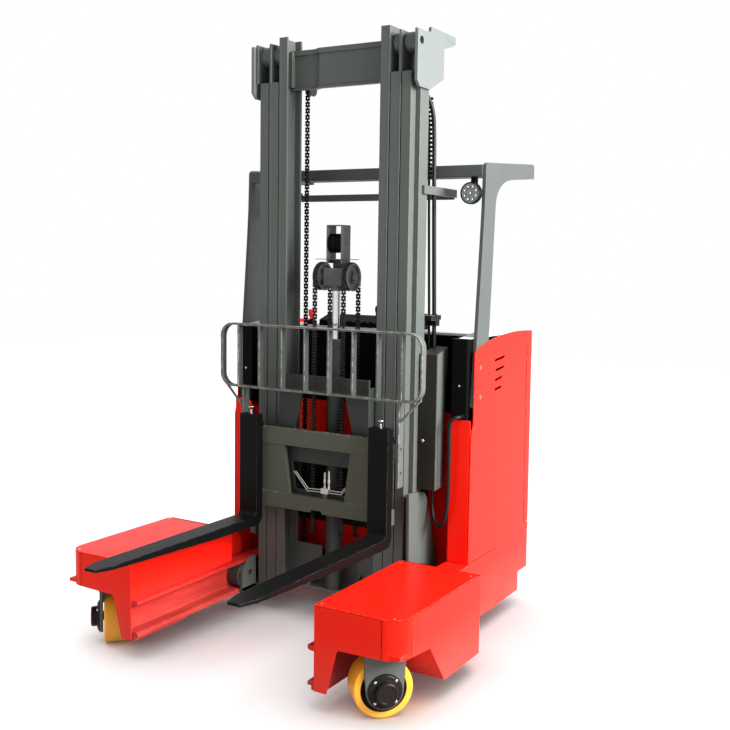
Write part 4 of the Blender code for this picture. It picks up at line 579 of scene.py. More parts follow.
# The console: a moulded black cover over the recess wall, with a pale top panel, a stop button and a small
# lever. A rubber gland in its left cheek takes the hose loop, and a screw holds each cheek.
moulded_black = finish("moulded black", (0.002, 0.002, 0.002), 0.48, gleam=0.03, mottle=0.15,
    grain=0.5, grain_scale=700, wear=(0.05, 0.05, 0.05))
pale_panel = finish("pale console panel", (0.42, 0.4, 0.44), 0.35, mottle=0.06, grain=0.3,
    grain_scale=500, wear=(0.5, 0.5, 0.5))
stop_red = finish("red button", (0.7, 0.01, 0.01), 0.25, coat=0.6)
cover = ((-685, 654, 4), (-685, 315.5, 12), (-594.5, 315.5, 10), (-594.5, 482.5, 16), (594.5, 482.5, 16),
    (594.5, 315.5, 10), (685, 315.5, 12), (685, 654, 4))
drawn(rounded(cover, 8), "z", 1090.8, 1477.5)
arm = rounded(((650, 1477.5, 0), (799.5, 1477.5, 12), (799.5, 1360, 30), (740, 1300.5, 40),
    (650, 1300.5, 0)), 6)
drawn(arm, "x", 625.8, 685, BOTH)
soften(4, 3)
lathe(((0, 298), (11.5, 298), (14, 300), (15, 303), (15, 318), (0, 318)), (661, 0, 1108), Y, 6)
made("console_shell", moulded_black, "chassis", "console_cover")

# The pale top: a plate on each cheek that rises to the rear and runs on over the arm, and a middle plate.
crest = crowned(((331.5, 1480), (340, 1481.2), (390, 1487), (450, 1494.5), (520, 1501.2)), 4)
plate = [*crest, (790, 1501.2), (799.5, 1493), (799.5, 1478.5), (331.5, 1478.5)]
drawn(plate, "x", 625.8, 685, BOTH)
bar((-684, 684), (483.5, 654.5), (1478.6, 1489.8))
soften(3, 3)
made("console_plates", pale_panel, "chassis")

hood = ((510.5, 1488), (510.5, 1521.5), (605, 1552), (654, 1537.5), (654, 1488))
drawn(hood, "x", -299, 299)
soften(6, 4)
lathe(((6.8, 30), (6.6, 92), (10, 100), (11.8, 112), (10, 124), (5, 130), (0, 131), (0, 30)), (20, 580, 1478),
    (0.13, -0.17, 1), 24)
made("console_hood", moulded_black, "chassis", "console_top")

lathe(((10, 40), (10, 52), (15.5, 56), (17.5, 64), (17.5, 85), (15.5, 91.5), (8, 94), (0, 94.2), (0, 40)),
    (-380, 560, 1478), Z, 40)
made("stop_button", stop_red, "chassis")
lathe(((0, 10), (20, 10), (20, 30), (17.5, 35), (11, 36), (11, 42), (0, 42)), (-380, 560, 1478), Z, 40)
made("stop_button_base", moulded_black, "chassis")

for side in BOTH:
    lathe(((0, -2.5), (3, -2), (5.8, 0), (5.8, 2), (0, 2)), (side * 640, 315.8, 1253), Y, 20)
made("console_screws", screw_steel, "chassis")


# The operator's cell: a black kick panel, the battery's steel box behind it, a ribbed rubber mat and the
# red housing over the drive unit. All are bolted to the floor.
ribbed_rubber = finish("ribbed rubber", (0.014, 0.014, 0.015), 0.75, grain=0.6,
    grain_scale=90, wear=(0.06, 0.055, 0.05), dust=0.5)
bar((-706, 706), (649.2, 654.8), (251.5, 1089.8))
for x in (-620, 0, 620):
    for z in (340, 980):
        lathe(((0, -0.1), (4, -0.1), (6, -1.2), (6, -3), (0, -3)), (x, 655, z), Y, 16)
soften(1)
made("kick_plate", steel_black, "chassis", "kick_panel")

bar((-600, 600), (486.5, 648.5), (251.5, 979))
soften(6, 3)
made("battery_box", steel_black, "chassis", "battery_block")

bar((-116, 702), (655.5, 1048), (251.5, 257))
for number in range(26):
    x = -105 + number * 31.5
    drawn(((x, 256.5), (x + 18, 256.5), (x + 14, 260.8), (x + 4, 260.8)), "y", 665, 1040)
made("rubber_mat", ribbed_rubber, "chassis", "floor_mat")

hump = rounded(((-706, 251.5, 0), (-706, 609.5, 12), (-120.5, 609.5, 30), (-120.5, 251.5, 0)), 8)
drawn(hump, "y", 655.6, 1042.5)
bar((-702, -122.5), (658, 1040), (230, 252))
soften(3, 3)
made("drive_housing", red_paint, "chassis", "drive_cover")


# The overhead guard: two bent plates cut from thick steel, joined by cross bars and slats, in a dark grey.
# Its feet are bolted inside the side panels.
guard_grey = finish("guard grey paint", (0.048, 0.053, 0.05), 0.42, gleam=0.15, mottle=0.08,
    mottle_scale=4, grain=0.08, grain_scale=260, wear=(0.08, 0.085, 0.08))
post = [(338.5, 1150.5), (404, 1940), (415, 2100), (421.2, 2300), (426, 2308.5), (440, 2315.5),
    (1008, 2355.5), (1026.2, 2347), (1026.6, 2281.2), *crowned(((758, 2257.5), (700, 2250), (652, 2238.5),
    (612, 2220), (579, 2196), (556, 2168), (544, 2134), (540, 2098)), 4), (499, 1425), (482.2, 1150.5)]
drawn(post, "x", 686.2, 705.8, BOTH)
drawn(rounded(((418.2, 2248.5, 6), (457.8, 2248.5, 6), (457.8, 2306.5, 6), (418.2, 2306.5, 6)), 4),
    "x", -686.5, 686.5)
drawn(rounded(((965.5, 2290.5, 6), (1004.5, 2290.5, 6), (1004.5, 2344.5, 6), (965.5, 2344.5, 6)), 4),
    "x", -686.5, 686.5)
for x in (-440, -220, 0, 220, 440):
    drawn(((457, 2270), (457, 2299), (966, 2338.5), (966, 2309.5)), "x", x - 7.8, x + 7.8)
soften(2, 3)
made("guard_frame", guard_grey, "chassis", "overhead_guard")

for side in BOTH:
    lathe(((0, -2), (5, -1.8), (6.2, 0), (6.2, 4), (0, 4)), (side * 696, 404.2, 1946), Y, 20)
made("guard_screws", dark_fastener, "chassis")


# The work lamp: a cast ring with cooling fins holds nine light-emitting diodes with clear lenses in
# reflector cups. It hangs from the guard's front bar by a bent bracket.
lens_glass = bpy.data.materials.new("lamp lens")
lens_glass.use_nodes = True
lens_shader = lens_glass.node_tree.nodes["Principled BSDF"]
lens_shader.inputs["Base Color"].default_value = (0.86, 0.9, 0.9, 1)
lens_shader.inputs["Roughness"].default_value = 0.05
lens_shader.inputs["Transmission Weight"].default_value = 0.0
reflector = finish("reflector", (0.17, 0.18, 0.18), 0.25, metallic=0.8, grain_scale=600)
LAMP_X, LAMP_Z = 655, 2168
lamp_spots = [*ringed(LAMP_X, LAMP_Z, 31.5, 8, 0.5), (LAMP_X, LAMP_Z)]
lathe(((47.5, 0), (50, -0.1), (51.6, 1), (52, 4), (52, 15), (50, 16.5), (50, 19.5), (52, 21), (52, 25),
    (48, 30), (40, 44), (0, 47), (0, 4), (47, 4)), (LAMP_X, 352, LAMP_Z), Y, 64)
bar((630.5, 655), (390, 417), (2176, 2194.5))
bar((630.5, 655), (410, 440), (2176, 2248))
bar((610, 700), (390, 396), (2150, 2186))
soften(0.8)
made("lamp_ring", moulded_black, "chassis", "work_lamp")
for x, z in lamp_spots:
    lathe(((0, 1.4), (3, 1.2), (7, 0.2), (9.8, -1), (10.5, -0.8), (10.5, 2.2), (0, 2.2)), (x, 353.5, z),
        Y, 28)
lathe(((0, 354.8), (45.5, 354.8), (45.5, 356.2), (0, 356.2)), (LAMP_X, 0, LAMP_Z), Y, 48)
made("lamp_cups", reflector, "chassis")
for x, z in lamp_spots:
    lathe(((0, -1.6), (2, -1.2), (3.2, 0), (3.2, 1), (0, 1)), (x, 354, z), Y, 16)
made("lamp_diodes", lens_glass, "chassis")


# The mast's rails: three pairs of rolled steel channels slide inside one another on rollers, painted satin
# grey. The front flanges of the outer two pairs stop below the top, a guide roller shows in each pocket,
# and a black strip in each gap is painted shade for the gap's dark.
roller_steel = finish("oiled roller steel", (0.04, 0.042, 0.041), 0.36, metallic=0.3,
    mottle=0.2, grain_scale=500, wear=(0.3, 0.3, 0.29))
bright_roller = finish("mast roller steel", (0.06, 0.065, 0.062), 0.38, metallic=0.2,
    grain_scale=500, wear=(0.24, 0.24, 0.23))
# Black for the gaps between the rails: painted shade.
gap_shade_black = finish("black gap shade", (0.002, 0.002, 0.002), 0.6, gleam=0.02)
STEP_X = 433
# Each stage: name, body, inner edge, outer edge, foot, top.
RAIL_STAGES = (("outer", "reach", 382.5, 460, 135, 2910), ("middle", "mast_middle", 322, 377.5, 150, 2910),
    ("inner", "mast_inner", 267, 317, 160, 2935))
for name, body, edge_in, edge_out, foot, top in RAIL_STAGES:
    web = edge_out - 12
    for hand, side in SIDES:
        flange_top = top if name == "inner" else 2720
        if name == "outer":
            # The outer rail's front corner is stepped, and only its web runs on above the flange.
            bar((web, edge_out), (205, 290), (foot, flange_top + 1), [side])
            bar((web, edge_out), (160, 290), (flange_top, top), [side])
            step = ((421, 160.6), (STEP_X, 160.6), (STEP_X, 205), (web + 1, 205), (web + 1, 217), (421, 217))
            drawn(step, "z", foot, flange_top, [side])
        else:
            bar((web, edge_out), (160, 290), (foot, top), [side])
        rear = rounded(((edge_in, 278, 3), (web - 0.1, 278, 5), (web, 270, 0), (web + 4, 270, 0),
            (web + 4, 290, 0), (edge_in, 290, 2)), 4)
        drawn(rear, "z", foot, top, [side])
        lap = 425 if name == "outer" else web + 4
        front = rounded(((edge_in, 160.6, 2), (lap, 160.6, 0), (lap, 172, 0), (edge_in, 172, 3)), 4)
        drawn(front, "z", foot, flange_top, [side])
        soften(2.6, 3)
        made(f"mast_rail_{name}_{hand}", mast_grey, body, f"mast_{name}_{hand}")

        spots = []
        if name != "inner":
            spots.append((edge_in + 2, web, top - 52, 48.6))
        if name != "outer":
            spots.append((edge_out + 0.4, {"middle": 447.2, "inner": 364.8}[name], foot + 75, 52.4))
        for low, high, z, radius in spots:
            # A roller bearing: outer ring, recessed seal and pin.
            length = high - low
            lathe(((0, 2), (12, 2), (12, 5), (radius - 16, 5), (radius - 12, 1), (radius - 3, 0), (radius, 3),
                (radius, length - 3), (radius - 3, length), (0, length)), (side * low, 225, z),
                (side, 0, 0), 56)
        made(f"mast_rollers_{name}_{hand}", bright_roller, body, angle=30)

        if name != "inner":
            # A black strip in the gap to the next rail is painted shade for the gap's dark.
            bar((edge_in - 4.4, edge_in - 0.2), (164, 176), (foot, flange_top - 10), [side])
            made(f"gap_shade_strip_{name}_{hand}", gap_shade_black, body)


# The inner rails' head and foot: a pressed cross plate with a stiff top bar, and a base that holds the lift
# cylinder.
pressed = ((-304.5, 245), (-150, 245), (-120, 225.5), (304.5, 225.5), (304.5, 239.5), (-115, 239.5),
    (-145, 259.5), (-304.5, 259.5))
drawn(pressed, "z", 2700, 2855)
lips = ((-304.5, 236), (-154, 236), (-124, 216.5), (304.5, 216.5), (304.5, 242), (-114, 242), (-144, 260),
    (-304.5, 260))
drawn(lips, "z", 2855, 2879.8)
drawn(lips, "z", 2685.4, 2694)
drawn(((-304.5, 242), (-150, 242), (-120, 222.5), (304.5, 222.5), (304.5, 242), (-304.5, 260)),
    "z", 2694, 2700)
for x in (-292, 292):
    bar((x - 12, x + 12), (220, 256), (2700, 2872))
soften(1.5)
made("inner_head_plate", mast_grey, "mast_inner", "mast_inner_head")
bar((110, 266.5), (278.2, 289.5), (161.2, 359.8), BOTH)
bar((-160, 160), (172.2, 288.5), (160.2, 171.8))
for x in (-135, 129):
    drawn(((176, 171.5), (278.5, 171.5), (278.5, 250)), "x", x, x + 6)
soften(1.5)
made("inner_foot_plate", mast_grey, "mast_inner", "mast_inner_foot")


# The leaf chains: thin steel link plates laced on pins, dark with oil, run over steel sheaves and end in
# anchors.
def chain_places(route, pitch):
    """Where each link lies along a route in the (y, z) plane: (middle, turn about X)."""
    steps = [(Vector(b) - Vector(a)).length for a, b in zip(route, route[1:])]
    joints = [Vector(route[0])]
    index, gone = 0, 0
    while True:
        gone += pitch
        while index < len(steps) and gone > steps[index]:
            gone -= steps[index]
            index += 1
        if index == len(steps):
            break
        joints.append(Vector(route[index]).lerp(Vector(route[index + 1]), gone / steps[index]))
    return [((a + b) / 2, math.atan2(b.y - a.y, b.x - a.x)) for a, b in zip(joints, joints[1:])]


def link(leaves, pitch, deep, pin):
    """One link's points and faces: round-ended, waisted plates at the named places, and a pin at its end."""
    outline = []
    for way in (1, -1):
        for step in range(5):
            angle = -math.pi / 2 + math.pi * step / 4
            outline.append((way * (pitch / 2 + deep / 2 * math.cos(angle)), way * deep / 2 * math.sin(angle)))
        outline.append((0, way * deep * 0.18))
    for low, high in leaves:
        drawn(outline, "x", low, high)
    lathe(((0, pin[0]), (3.2, pin[0]), (3.2, pin[1]), (0, pin[1])), (0, pitch / 2, 0), X, 8)
    full = taken()
    full.verts.index_update()
    spots = [vert.co.copy() for vert in full.verts]
    sides = [[vert.index for vert in face.verts] for face in full.faces]
    full.free()
    return spots, sides


def laced_chain(name, centre_x, half, route, material, body, node, pitch=15.9, deep=11.2, leaves=3):
    """A whole leaf chain along a route of (y, z) points."""
    step = 2 * half / leaves
    seats = [(-half + step * k + 0.3, -half + step * (k + 1) - 0.3) for k in range(leaves)]
    kinds = [link(seats[first::2], pitch, deep, (-half, half)) for first in (0, 1)]
    points, faces = [], []
    for number, (middle, angle) in enumerate(chain_places(route, pitch)):
        spots, sides = kinds[number % 2]
        place = Matrix.Translation(Vector((centre_x, *middle)) * MM) @ Matrix.Rotation(angle, 4, "X")
        base = len(points)
        points += [place @ spot for spot in spots]
        faces += [[base + corner for corner in side] for side in sides]
    mesh = bpy.data.meshes.new(name)
    mesh.from_pydata(points, [], faces)
    shown(name, mesh, material, body, node)


def over_sheave(centre, radius, front_foot, rear_foot):
    """A chain's route: up in front of a sheave, over it and down behind, as (y, z) points."""
    over = ringed(*centre, radius, 48)[24::-1]
    return [(centre[0] - radius, front_foot), *over, (centre[0] + radius, rear_foot)]


oiled_chain = finish("oiled chain steel", (0.02, 0.02, 0.019), 0.34, metallic=0.75, mottle=0.5,
    mottle_scale=60, grain_scale=700)
for hand, side in SIDES:
    laced_chain(f"free_lift_links_{hand}", side * 84, 11.8, over_sheave((220, 1759), 68.5, 472, 432),
        oiled_chain, "crosshead", f"free_lift_chain_{hand}")
    laced_chain(f"lift_links_{hand}", side * 250, 11.8, ((315, 202), (315, 2705)), oiled_chain, "mast_middle",
        f"lift_chain_{hand}")
    # Chain anchors at the free ends, and the lift chain's small sheave.
    for y, z in ((151.5, 478), (288.5, 440)):
        bar((74, 94), (y - 5.5, y + 5.5), (z - 8, z + 26), [side])
    soften(1)
    made(f"chain_anchors_{hand}", steel_black, "crosshead")
    lathe(((6, -12.5), (25, -13.8), (35.5, -13.8), (35.5, -12.2), (30, -12), (30, 12), (35.5, 12.2),
        (35.5, 13.8), (25, 13.8), (6, 12.5)), (side * 250, 344.8, 2705), X, 40, ring=True)
    lathe(((0, -13.8), (6, -13.8), (6, 13.8), (0, 13.8)), (side * 250, 344.8, 2705), X, 20)
    made(f"lift_sheave_{hand}", roller_steel, "mast_middle")


# The free lift: a single-acting cylinder with a chromed rod pushes a crosshead up, and two leaf chains pass
# over its sheaves. A folded bracket above the crosshead guides the hoses over a pulley.
# A grey darkened as painted shade, for the free lift and the lift carriage, which stand in shadow between the
# rails.
shade_darkened_grey = finish("grey paint darkened as shade", (0.024, 0.028, 0.025), 0.42, gleam=0.12, mottle=0.08,
    mottle_scale=4, grain=0.08, grain_scale=260, wear=(0.08, 0.085, 0.08), dust=0.3)
chrome = finish("chromed rod", (0.72, 0.73, 0.74), 0.07, metallic=1.0, mottle=0.03,
    grain=0.04, grain_scale=900)
FREE_LIFT_FOOT = (0, 220, 0)
SHEAVE_AXLE = (0, 220, 1759)
PULLEY_AXLE = (0, 231, 1925)
lathe(((21.6, 172.6), (41.2, 172.6), (41.2, 1405), (40.8, 1408), (41.2, 1411), (41.5, 1412), (41.5, 1444),
    (40, 1448), (36, 1449.7), (27, 1449.9), (25, 1448), (21.6, 1448)), FREE_LIFT_FOOT, Z, 56, ring=True)
made("free_lift_tube", shade_darkened_grey, "mast_inner", "free_lift_cylinder", angle=28)
lathe(((0, 750.5), (20, 750.5), (20.9, 752), (20.9, 1719), (0, 1719)), FREE_LIFT_FOOT, Z, 56)
made("free_lift_rod", chrome, "crosshead")
# Crosshead block, the sheaves' axle, the hose bracket's cheeks and the chain guard across the top.
bar((-58, 58), (186, 254), (1716, 1802))
lathe(((0, -66), (30, -66), (36, -60), (36, 60), (30, 66), (0, 66)), SHEAVE_AXLE, X, 40)
lathe(((0, -111.5), (16.5, -111.5), (19.5, -108.5), (19.5, 108.5), (16.5, 111.5), (0, 111.5)), SHEAVE_AXLE,
    X, 40)
lathe(((0, 1690), (30, 1690), (32, 1694), (32, 1718), (0, 1718)), FREE_LIFT_FOOT, Z, 40)
for x in ((-45, -39), (39, 45)):
    cheek = rounded(((190.2, 1826, 0), (190.2, 2014.8, 4), (271.8, 2014.8, 4), (271.8, 1826, 0)), 4)
    drawn(cheek, "x", *x)
bar((-40, 40), (244, 249.8), (1800, 1845))
bar((-40, 40), (192, 270), (2010, 2014.5))
bar((-110, 112), (190, 250), (1844, 1847.5))
soften(1.2)
made("crosshead_block", mast_grey, "crosshead", "crosshead")
for side in BOTH:
    lathe(((20.3, -14.5), (30, -14.5), (33, -9), (52, -9), (56, -15), (69, -15.8), (69, -12.6), (63, -12.2),
        (63, 12.2), (69, 12.6), (69, 15.8), (56, 15), (52, 9), (33, 9), (30, 14.5), (20.3, 14.5)),
        (side * 84, 220, 1759), X, 64, ring=True)
    lathe(((19.6, 0), (25, 0), (26.2, 1.2), (26.2, 3), (19.6, 3)), (side * 100.4, 220, 1759),
        (side, 0, 0), 32, ring=True)
lathe(((0, 3), (5, 3), (8.5, 2), (10.5, 0), (10.5, -1), (0, -1)), (45.2, 231, 1925), X, 24)
made("crosshead_sheaves", roller_steel, "crosshead", angle=30)
lathe(((0, -37), (45, -37), (47.8, -34), (42, -26), (42, -22), (47.8, -18), (47.8, -2), (42, 2), (42, 6),
    (47.8, 10), (47.8, 34), (45, 37), (0, 37)), PULLEY_AXLE, X, 56)
made("hose_pulley", moulded_black, "crosshead")


# The lift cylinders behind the rails: black tubes stand on the reach carriage and chromed rods lift the
# middle rails. A gland nut closes each tube, and a cross plate behind the rails carries the chain sheaves.
for hand, side in SIDES:
    lathe(((18.4, 135.5), (31.8, 135.5), (31.8, 2205), (30.8, 2207), (31.8, 2209), (32, 2210), (32, 2244),
        (30, 2249.8), (18.4, 2249.8)), (side * 352, 350, 0), Z, 48, ring=True)
    made(f"lift_tube_{hand}", steel_black, "reach", f"lift_cylinder_{hand}", angle=28)
for side in BOTH:
    lathe(((0, 300.5), (17.9, 300.5), (17.9, 2758), (0, 2758)), (side * 352, 350, 0), Z, 40)
made("lift_rods", chrome, "mast_middle")
bar((-377.2, 377.2), (300.7, 308.3), (2700.2, 2839.8))
bar((-377.2, 377.2), (306, 389.8), (2756, 2779.5))
for side in BOTH:
    bar((323.5, 365.2), (290.4, 301.5), (2700.2, 2839.8), [side])
    lathe(((0, 2746), (26, 2746), (28, 2748), (28, 2756.5), (0, 2756.5)), (side * 352, 350, 0), Z, 32)
    drawn(((307.5, 2778.5), (385, 2778.5), (307.5, 2830)), "x", 285, 292, [side])
soften(1.5)
made("middle_head_plate", mast_grey, "mast_middle", "mast_middle_head")
bar((-377.2, 377.2), (300.7, 308.3), (160.2, 299.8))
bar((323.5, 365.2), (290.4, 301.5), (160.2, 299.8), BOTH)
soften(1.5)
made("middle_foot_plate", mast_grey, "mast_middle", "mast_middle_foot")


# The outer rails' top bracket and rear crossbar: cut plates welded to the rails' sides, bridged behind by a
# flat bar, in two greys. A black plug closes the eye in each plate.
plate_round = ((141.2, 2899, 4), (141.2, 2672, 6), (170, 2645.5, 4), (270, 2645.5, 6), (408.5, 2712.5, 8),
    (408.5, 2884, 4), (290, 2912, 4), (230, 2904.5, 4))
arm_round = ((296, 2880, 0), (430, 2860, 4), (527, 2888.5, 4), (556.5, 2905.5, 2), (556.5, 2939.5, 2),
    (300, 2939.5, 4), (296, 2920, 0))
bracket_grey = finish("bracket grey paint", (0.092, 0.101, 0.097), 0.4, gleam=0.25, mottle=0.08,
    mottle_scale=4, grain=0.08, grain_scale=260, wear=(0.16, 0.165, 0.16))
drawn(rounded(plate_round, 5), "x", 460.4, 474.8, BOTH, holes=[ringed(180, 2856, 19, 28)])
drawn(rounded(arm_round, 5), "x", 446, 460.4, BOTH)
bar((-461.8, 461.8), (470.2, 556.5), (2908.2, 2919.8))
soften(1.5)
made("top_bracket", bracket_grey, "reach", "mast_outer_bracket")
for side in BOTH:
    lathe(((0, 0.2), (17.5, 0.2), (17.5, 4), (15, 5), (0, 5)), (side * 460.2, 180, 2856), (side, 0, 0), 36)
made("bracket_plugs", moulded_black, "reach")
bar((460.4, 474.8), (235.2, 583.8), (2161.2, 2200.8), BOTH)
bar((-461.8, 461.8), (568.2, 583.8), (2152.2, 2187.8))
soften(2)
made("rear_crossbar", mast_grey, "reach", "mast_outer_yoke")


# The hose cover: folded sheet on the mast's left side, in a dark brown-grey and held by two screws, over
# the hoses that run down the rail. Its roof slopes forwards, its side is painted light in the lighter mast
# grey, and a clamp and a chain of plastic links hold the hoses above it.
COVER_FRONT = 240
COVER_SLOPE = 0.15
cover_grey = finish("cover brown-grey paint", (0.012, 0.0115, 0.008), 0.44, gleam=0.15,
    mottle=0.1, mottle_scale=5, grain=0.08, grain_scale=240, wear=(0.03, 0.03, 0.026))
folded = ((COVER_FRONT, 745.2), (369.8, 745.2), (369.8, 1270.5), (399.8, 1289), (399.8, 1429.8),
    (COVER_FRONT, 1402))
drawn(folded, "x", 460.6, 560)
for vert in work.verts:
    if vert.co.x > 500:
        vert.co.x = 558 - COVER_SLOPE * (vert.co.y - COVER_FRONT)
bar((420.2, 462), (290.5, 369.8), (745.2, 1408))
soften(3, 4)
made("hose_cover_sheet", cover_grey, "reach", "hose_cover")
# The cover's side is a separate sheet in the lighter mast grey, painted light for the light on that side.
drawn([(y + 2 if y < 300 else y - 1, z) for y, z in folded], "x", 560, 562)
for vert in work.verts:
    vert.co.x -= 2 + COVER_SLOPE * (vert.co.y - COVER_FRONT)
soften(0.8)
made("hose_cover_painted_lit_side", mast_grey, "reach")
lathe(((0, -4), (6, -3.6), (8.5, -2), (9.5, 0), (9.5, 3), (0, 3)), (488, COVER_FRONT, 983.4), Y, 24)
lathe(((0, -1), (4, -0.8), (5, 0), (5, 2), (0, 2)), (491, COVER_FRONT, 1225), Y, 20)
made("hose_cover_screws", screw_steel, "reach")
# The two hoses follow one route, in metres, each from its own place across.
MAST_HOSE_ROUTE = (
    (-0.036, 0.345, 2.65), (-0.02, 0.358, 2.612), (-0.006, 0.368, 2.56), (0, 0.375, 2.47),
    (0.006, 0.375, 2.21), (0.014, 0.375, 1.88), (0.02, 0.375, 1.64), (0.022, 0.375, 1.54),
    (0.024, 0.375, 1.42),
)
for number, x, radius, nodes in ((1, 0.418, 0.0066, ["mast_hoses"]), (2, 0.446, 0.0105, [])):
    route = [(x + shift, y, z) for shift, y, z in MAST_HOSE_ROUTE]
    hose_curve(f"mast_hose_{number}", smooth_route(route, 6), radius, hose_rubber, "reach", *nodes)
# A carrier of open plastic links guides the hoses below the bracket.
bar((404.5, 408.5), (370, 386), (2240, 2635))
for number in range(19):
    z = 2242 + number * 20.8
    bar((408, 433), (370, 386), (z, z + 11.5))
made("hose_carrier", moulded_black, "reach")
bar((424, 499.5), (290.5, 387.5), (1560.2, 1584.8))
bar((430, 488), (360, 395), (1530, 1562))
soften(2, 3)
for x in (437, 494.5):
    lathe(((0, 1580), (5.8, 1580), (5.8, 1590), (0, 1590)), (x, 345, 0), Z, 6)
made("hose_clamp", steel_black, "reach", slot="bright_steel")


# The reach carriage: grey side plates stand outside the outer rails, and ears with rollers run in the reach
# rails. A box beam ties the sides together behind the mast, and the reach cylinder's chromed rod pushes it.
bar((300.4, 464), (160.4, 449.6), (105, 134.4), BOTH)
bar((448.4, 464), (45.6, 170), (105, 134.4), BOTH)
ear = rounded(((45.5, 110, 0), (159.4, 110, 0), (159.4, 284.6, 4), (115, 284.6, 12), (45.5, 225, 16)), 6)
drawn(ear, "x", 448.4, 464, BOTH, holes=[ringed(112, 205, 16, 28)])
rear_ear = rounded(((290.6, 120, 0), (454.6, 120, 0), (454.6, 399.6, 20), (290.6, 439, 4)), 6)
drawn(rear_ear, "x", 448.4, 464, BOTH)
cheek = rounded(((138.4, 739.4, 6), (292, 721.5, 4), (322.6, 690, 12), (458.4, 311.4, 14),
    (147.4, 403.4, 10)), 6)
drawn(cheek, "x", 460.5, 474.8, BOTH)
soften(1.6)
made("reach_plates", mast_grey, "reach", "reach_carriage")
bar((-449.5, 449.5), (390.4, 449.6), (115.2, 279.6))
for x in (-300, 294):
    drawn(((295, 134), (391, 134), (391, 260)), "x", x, x + 6)
soften(1.6)
made("reach_beam", steel_black, "reach")
for side in BOTH:
    for y in (85, 405):
        lathe(((0, -1), (14, -1), (14, 3), (46, 3), (50, 0.5), (59, 0.4), (61.2, 3), (61.2, 62), (59, 65),
            (0, 65)), (side * 464.2, y, 191.7), (side, 0, 0), 56)
made("reach_rollers", roller_steel, "reach", angle=30)
lathe(((0, 0), (15, 0), (17.8, 3), (17.8, 599), (0, 599)), (0, 441, 190), Y, 36)
made("reach_rod", chrome, "reach")
lathe(((20.4, 0), (29, 0), (31, 2), (31, 26), (30, 27.5), (31.8, 29), (31.8, 560), (20.4, 569)),
    (0, 486.6, 190), Y, 44, ring=True)
bar((-29.6, 29.6), (600.4, 659.6), (214.6, 244.4))
made("reach_tube", steel_black, "chassis", "reach_cylinder")


# The lift carriage: a plate with two windows, cut from thick steel, runs on four rollers in the inner
# rails. It carries two tilt cylinders low down and the tilt pins' lugs at the top, and wears the free
# lift's grey, darkened as painted shade.
face = ((-261.6, 620.4), (261.6, 620.4), (261.6, 1269.6), (-261.6, 1269.6))
upper_window = rounded(((-124.4, 1189.6, 30), (124.4, 1189.6, 30), (189.4, 930.4, 12),
    (-189.4, 930.4, 12)), 8)
lower_window = rounded(((-184.4, 829.6, 12), (184.4, 829.6, 12), (164.4, 690.4, 16), (-164.4, 690.4, 16)), 8)
drawn(face, "y", 108.4, 122.6, holes=[upper_window, lower_window])
edge = rounded(((122.4, 640.4, 0), (264.6, 640.4, 20), (264.6, 1229.6, 20), (122.4, 1229.6, 0)), 6)
drawn(edge, "x", 250.4, 261.8, BOTH)
lug = rounded(((110, 930.4, 0), (88.4, 930.4, 10), (88.4, 989.6, 10), (110, 989.6, 0)), 6)
drawn(lug, "x", 200.4, 214.6, BOTH)
soften(1.4)
made("lift_plate", shade_darkened_grey, "lift_carriage", "lift_carriage")
for side in BOTH:
    for z in (720, 1150):
        lathe(((0, 0), (12, 0), (12, 2), (36, 2), (40, 0.4), (50, 0.2), (52.4, 2.6), (52.4, 37), (50, 39.6),
            (0, 39.6)), (side * 262, 225, z), (side, 0, 0), 56)
    lathe(((0, 0), (7.8, 0), (9.6, 1.6), (9.6, 53.4), (7.8, 55), (0, 55)), (side * 190, 94, 960),
        (side, 0, 0), 28)
made("lift_rollers", roller_steel, "lift_carriage", angle=30)
for side in BOTH:
    lathe(((16.3, 107.8), (22, 107.8), (23.8, 109.2), (23.8, 126), (22.8, 127.5), (23.8, 129), (23.8, 198),
        (22, 199.8), (0, 199.8), (0, 185.5), (16.3, 185.5)), (side * 225, 0, 720), Y, 40)
made("tilt_tubes", steel_black, "lift_carriage")


# The fork carriage: two forged bars joined by welded web plates. The top bar is notched for the forks'
# locking pins, and the lower bar has a gap in the middle where forks go on and off. Painted olive grey.
olive_grey = finish("olive grey paint", (0.046, 0.05, 0.035), 0.4, gleam=0.15, mottle=0.1,
    mottle_scale=6, grain=0.2, grain_scale=180, wear=(0.34, 0.34, 0.32))
upper = [(-429.6, 918.4), (429.6, 918.4), (429.6, 1002.6)]
for number in range(6, -7, -1):
    x = number * 62
    if abs(abs(x) - 379) < 54:
        continue
    upper += [(x + 6, 1002.6), (x + 6, 996.5), (x + 3, 994.2), (x - 3, 994.2), (x - 6, 996.5),
        (x - 6, 1002.6)]
upper.append((-429.6, 1002.6))
drawn(upper, "y", 50.6, 80)
lower = ((-429.6, 596.4), (-36, 596.4), (-30, 610), (30, 610), (36, 596.4), (429.6, 596.4), (429.6, 672.1),
    (-429.6, 672.1))
drawn(lower, "y", 50.6, 80)
web = rounded(((194.4, 922, 0), (160.4, 668.5, 0), (399.6, 668.5, 0), (399.6, 922, 0)), 2)
drawn(web, "y", 55.6, 75, BOTH)
for low in (190.2, 215.7):
    ear = rounded(((78, 936.4, 0), (101.6, 936.4, 6), (101.6, 983.6, 6), (78, 983.6, 0)), 4)
    drawn(ear, "x", low, low + 8.6, BOTH, holes=[ringed(94, 960, 10.9, 24)])
soften(1.8, 3)
made("fork_bars", olive_grey, "fork_carriage", "fork_carriage")
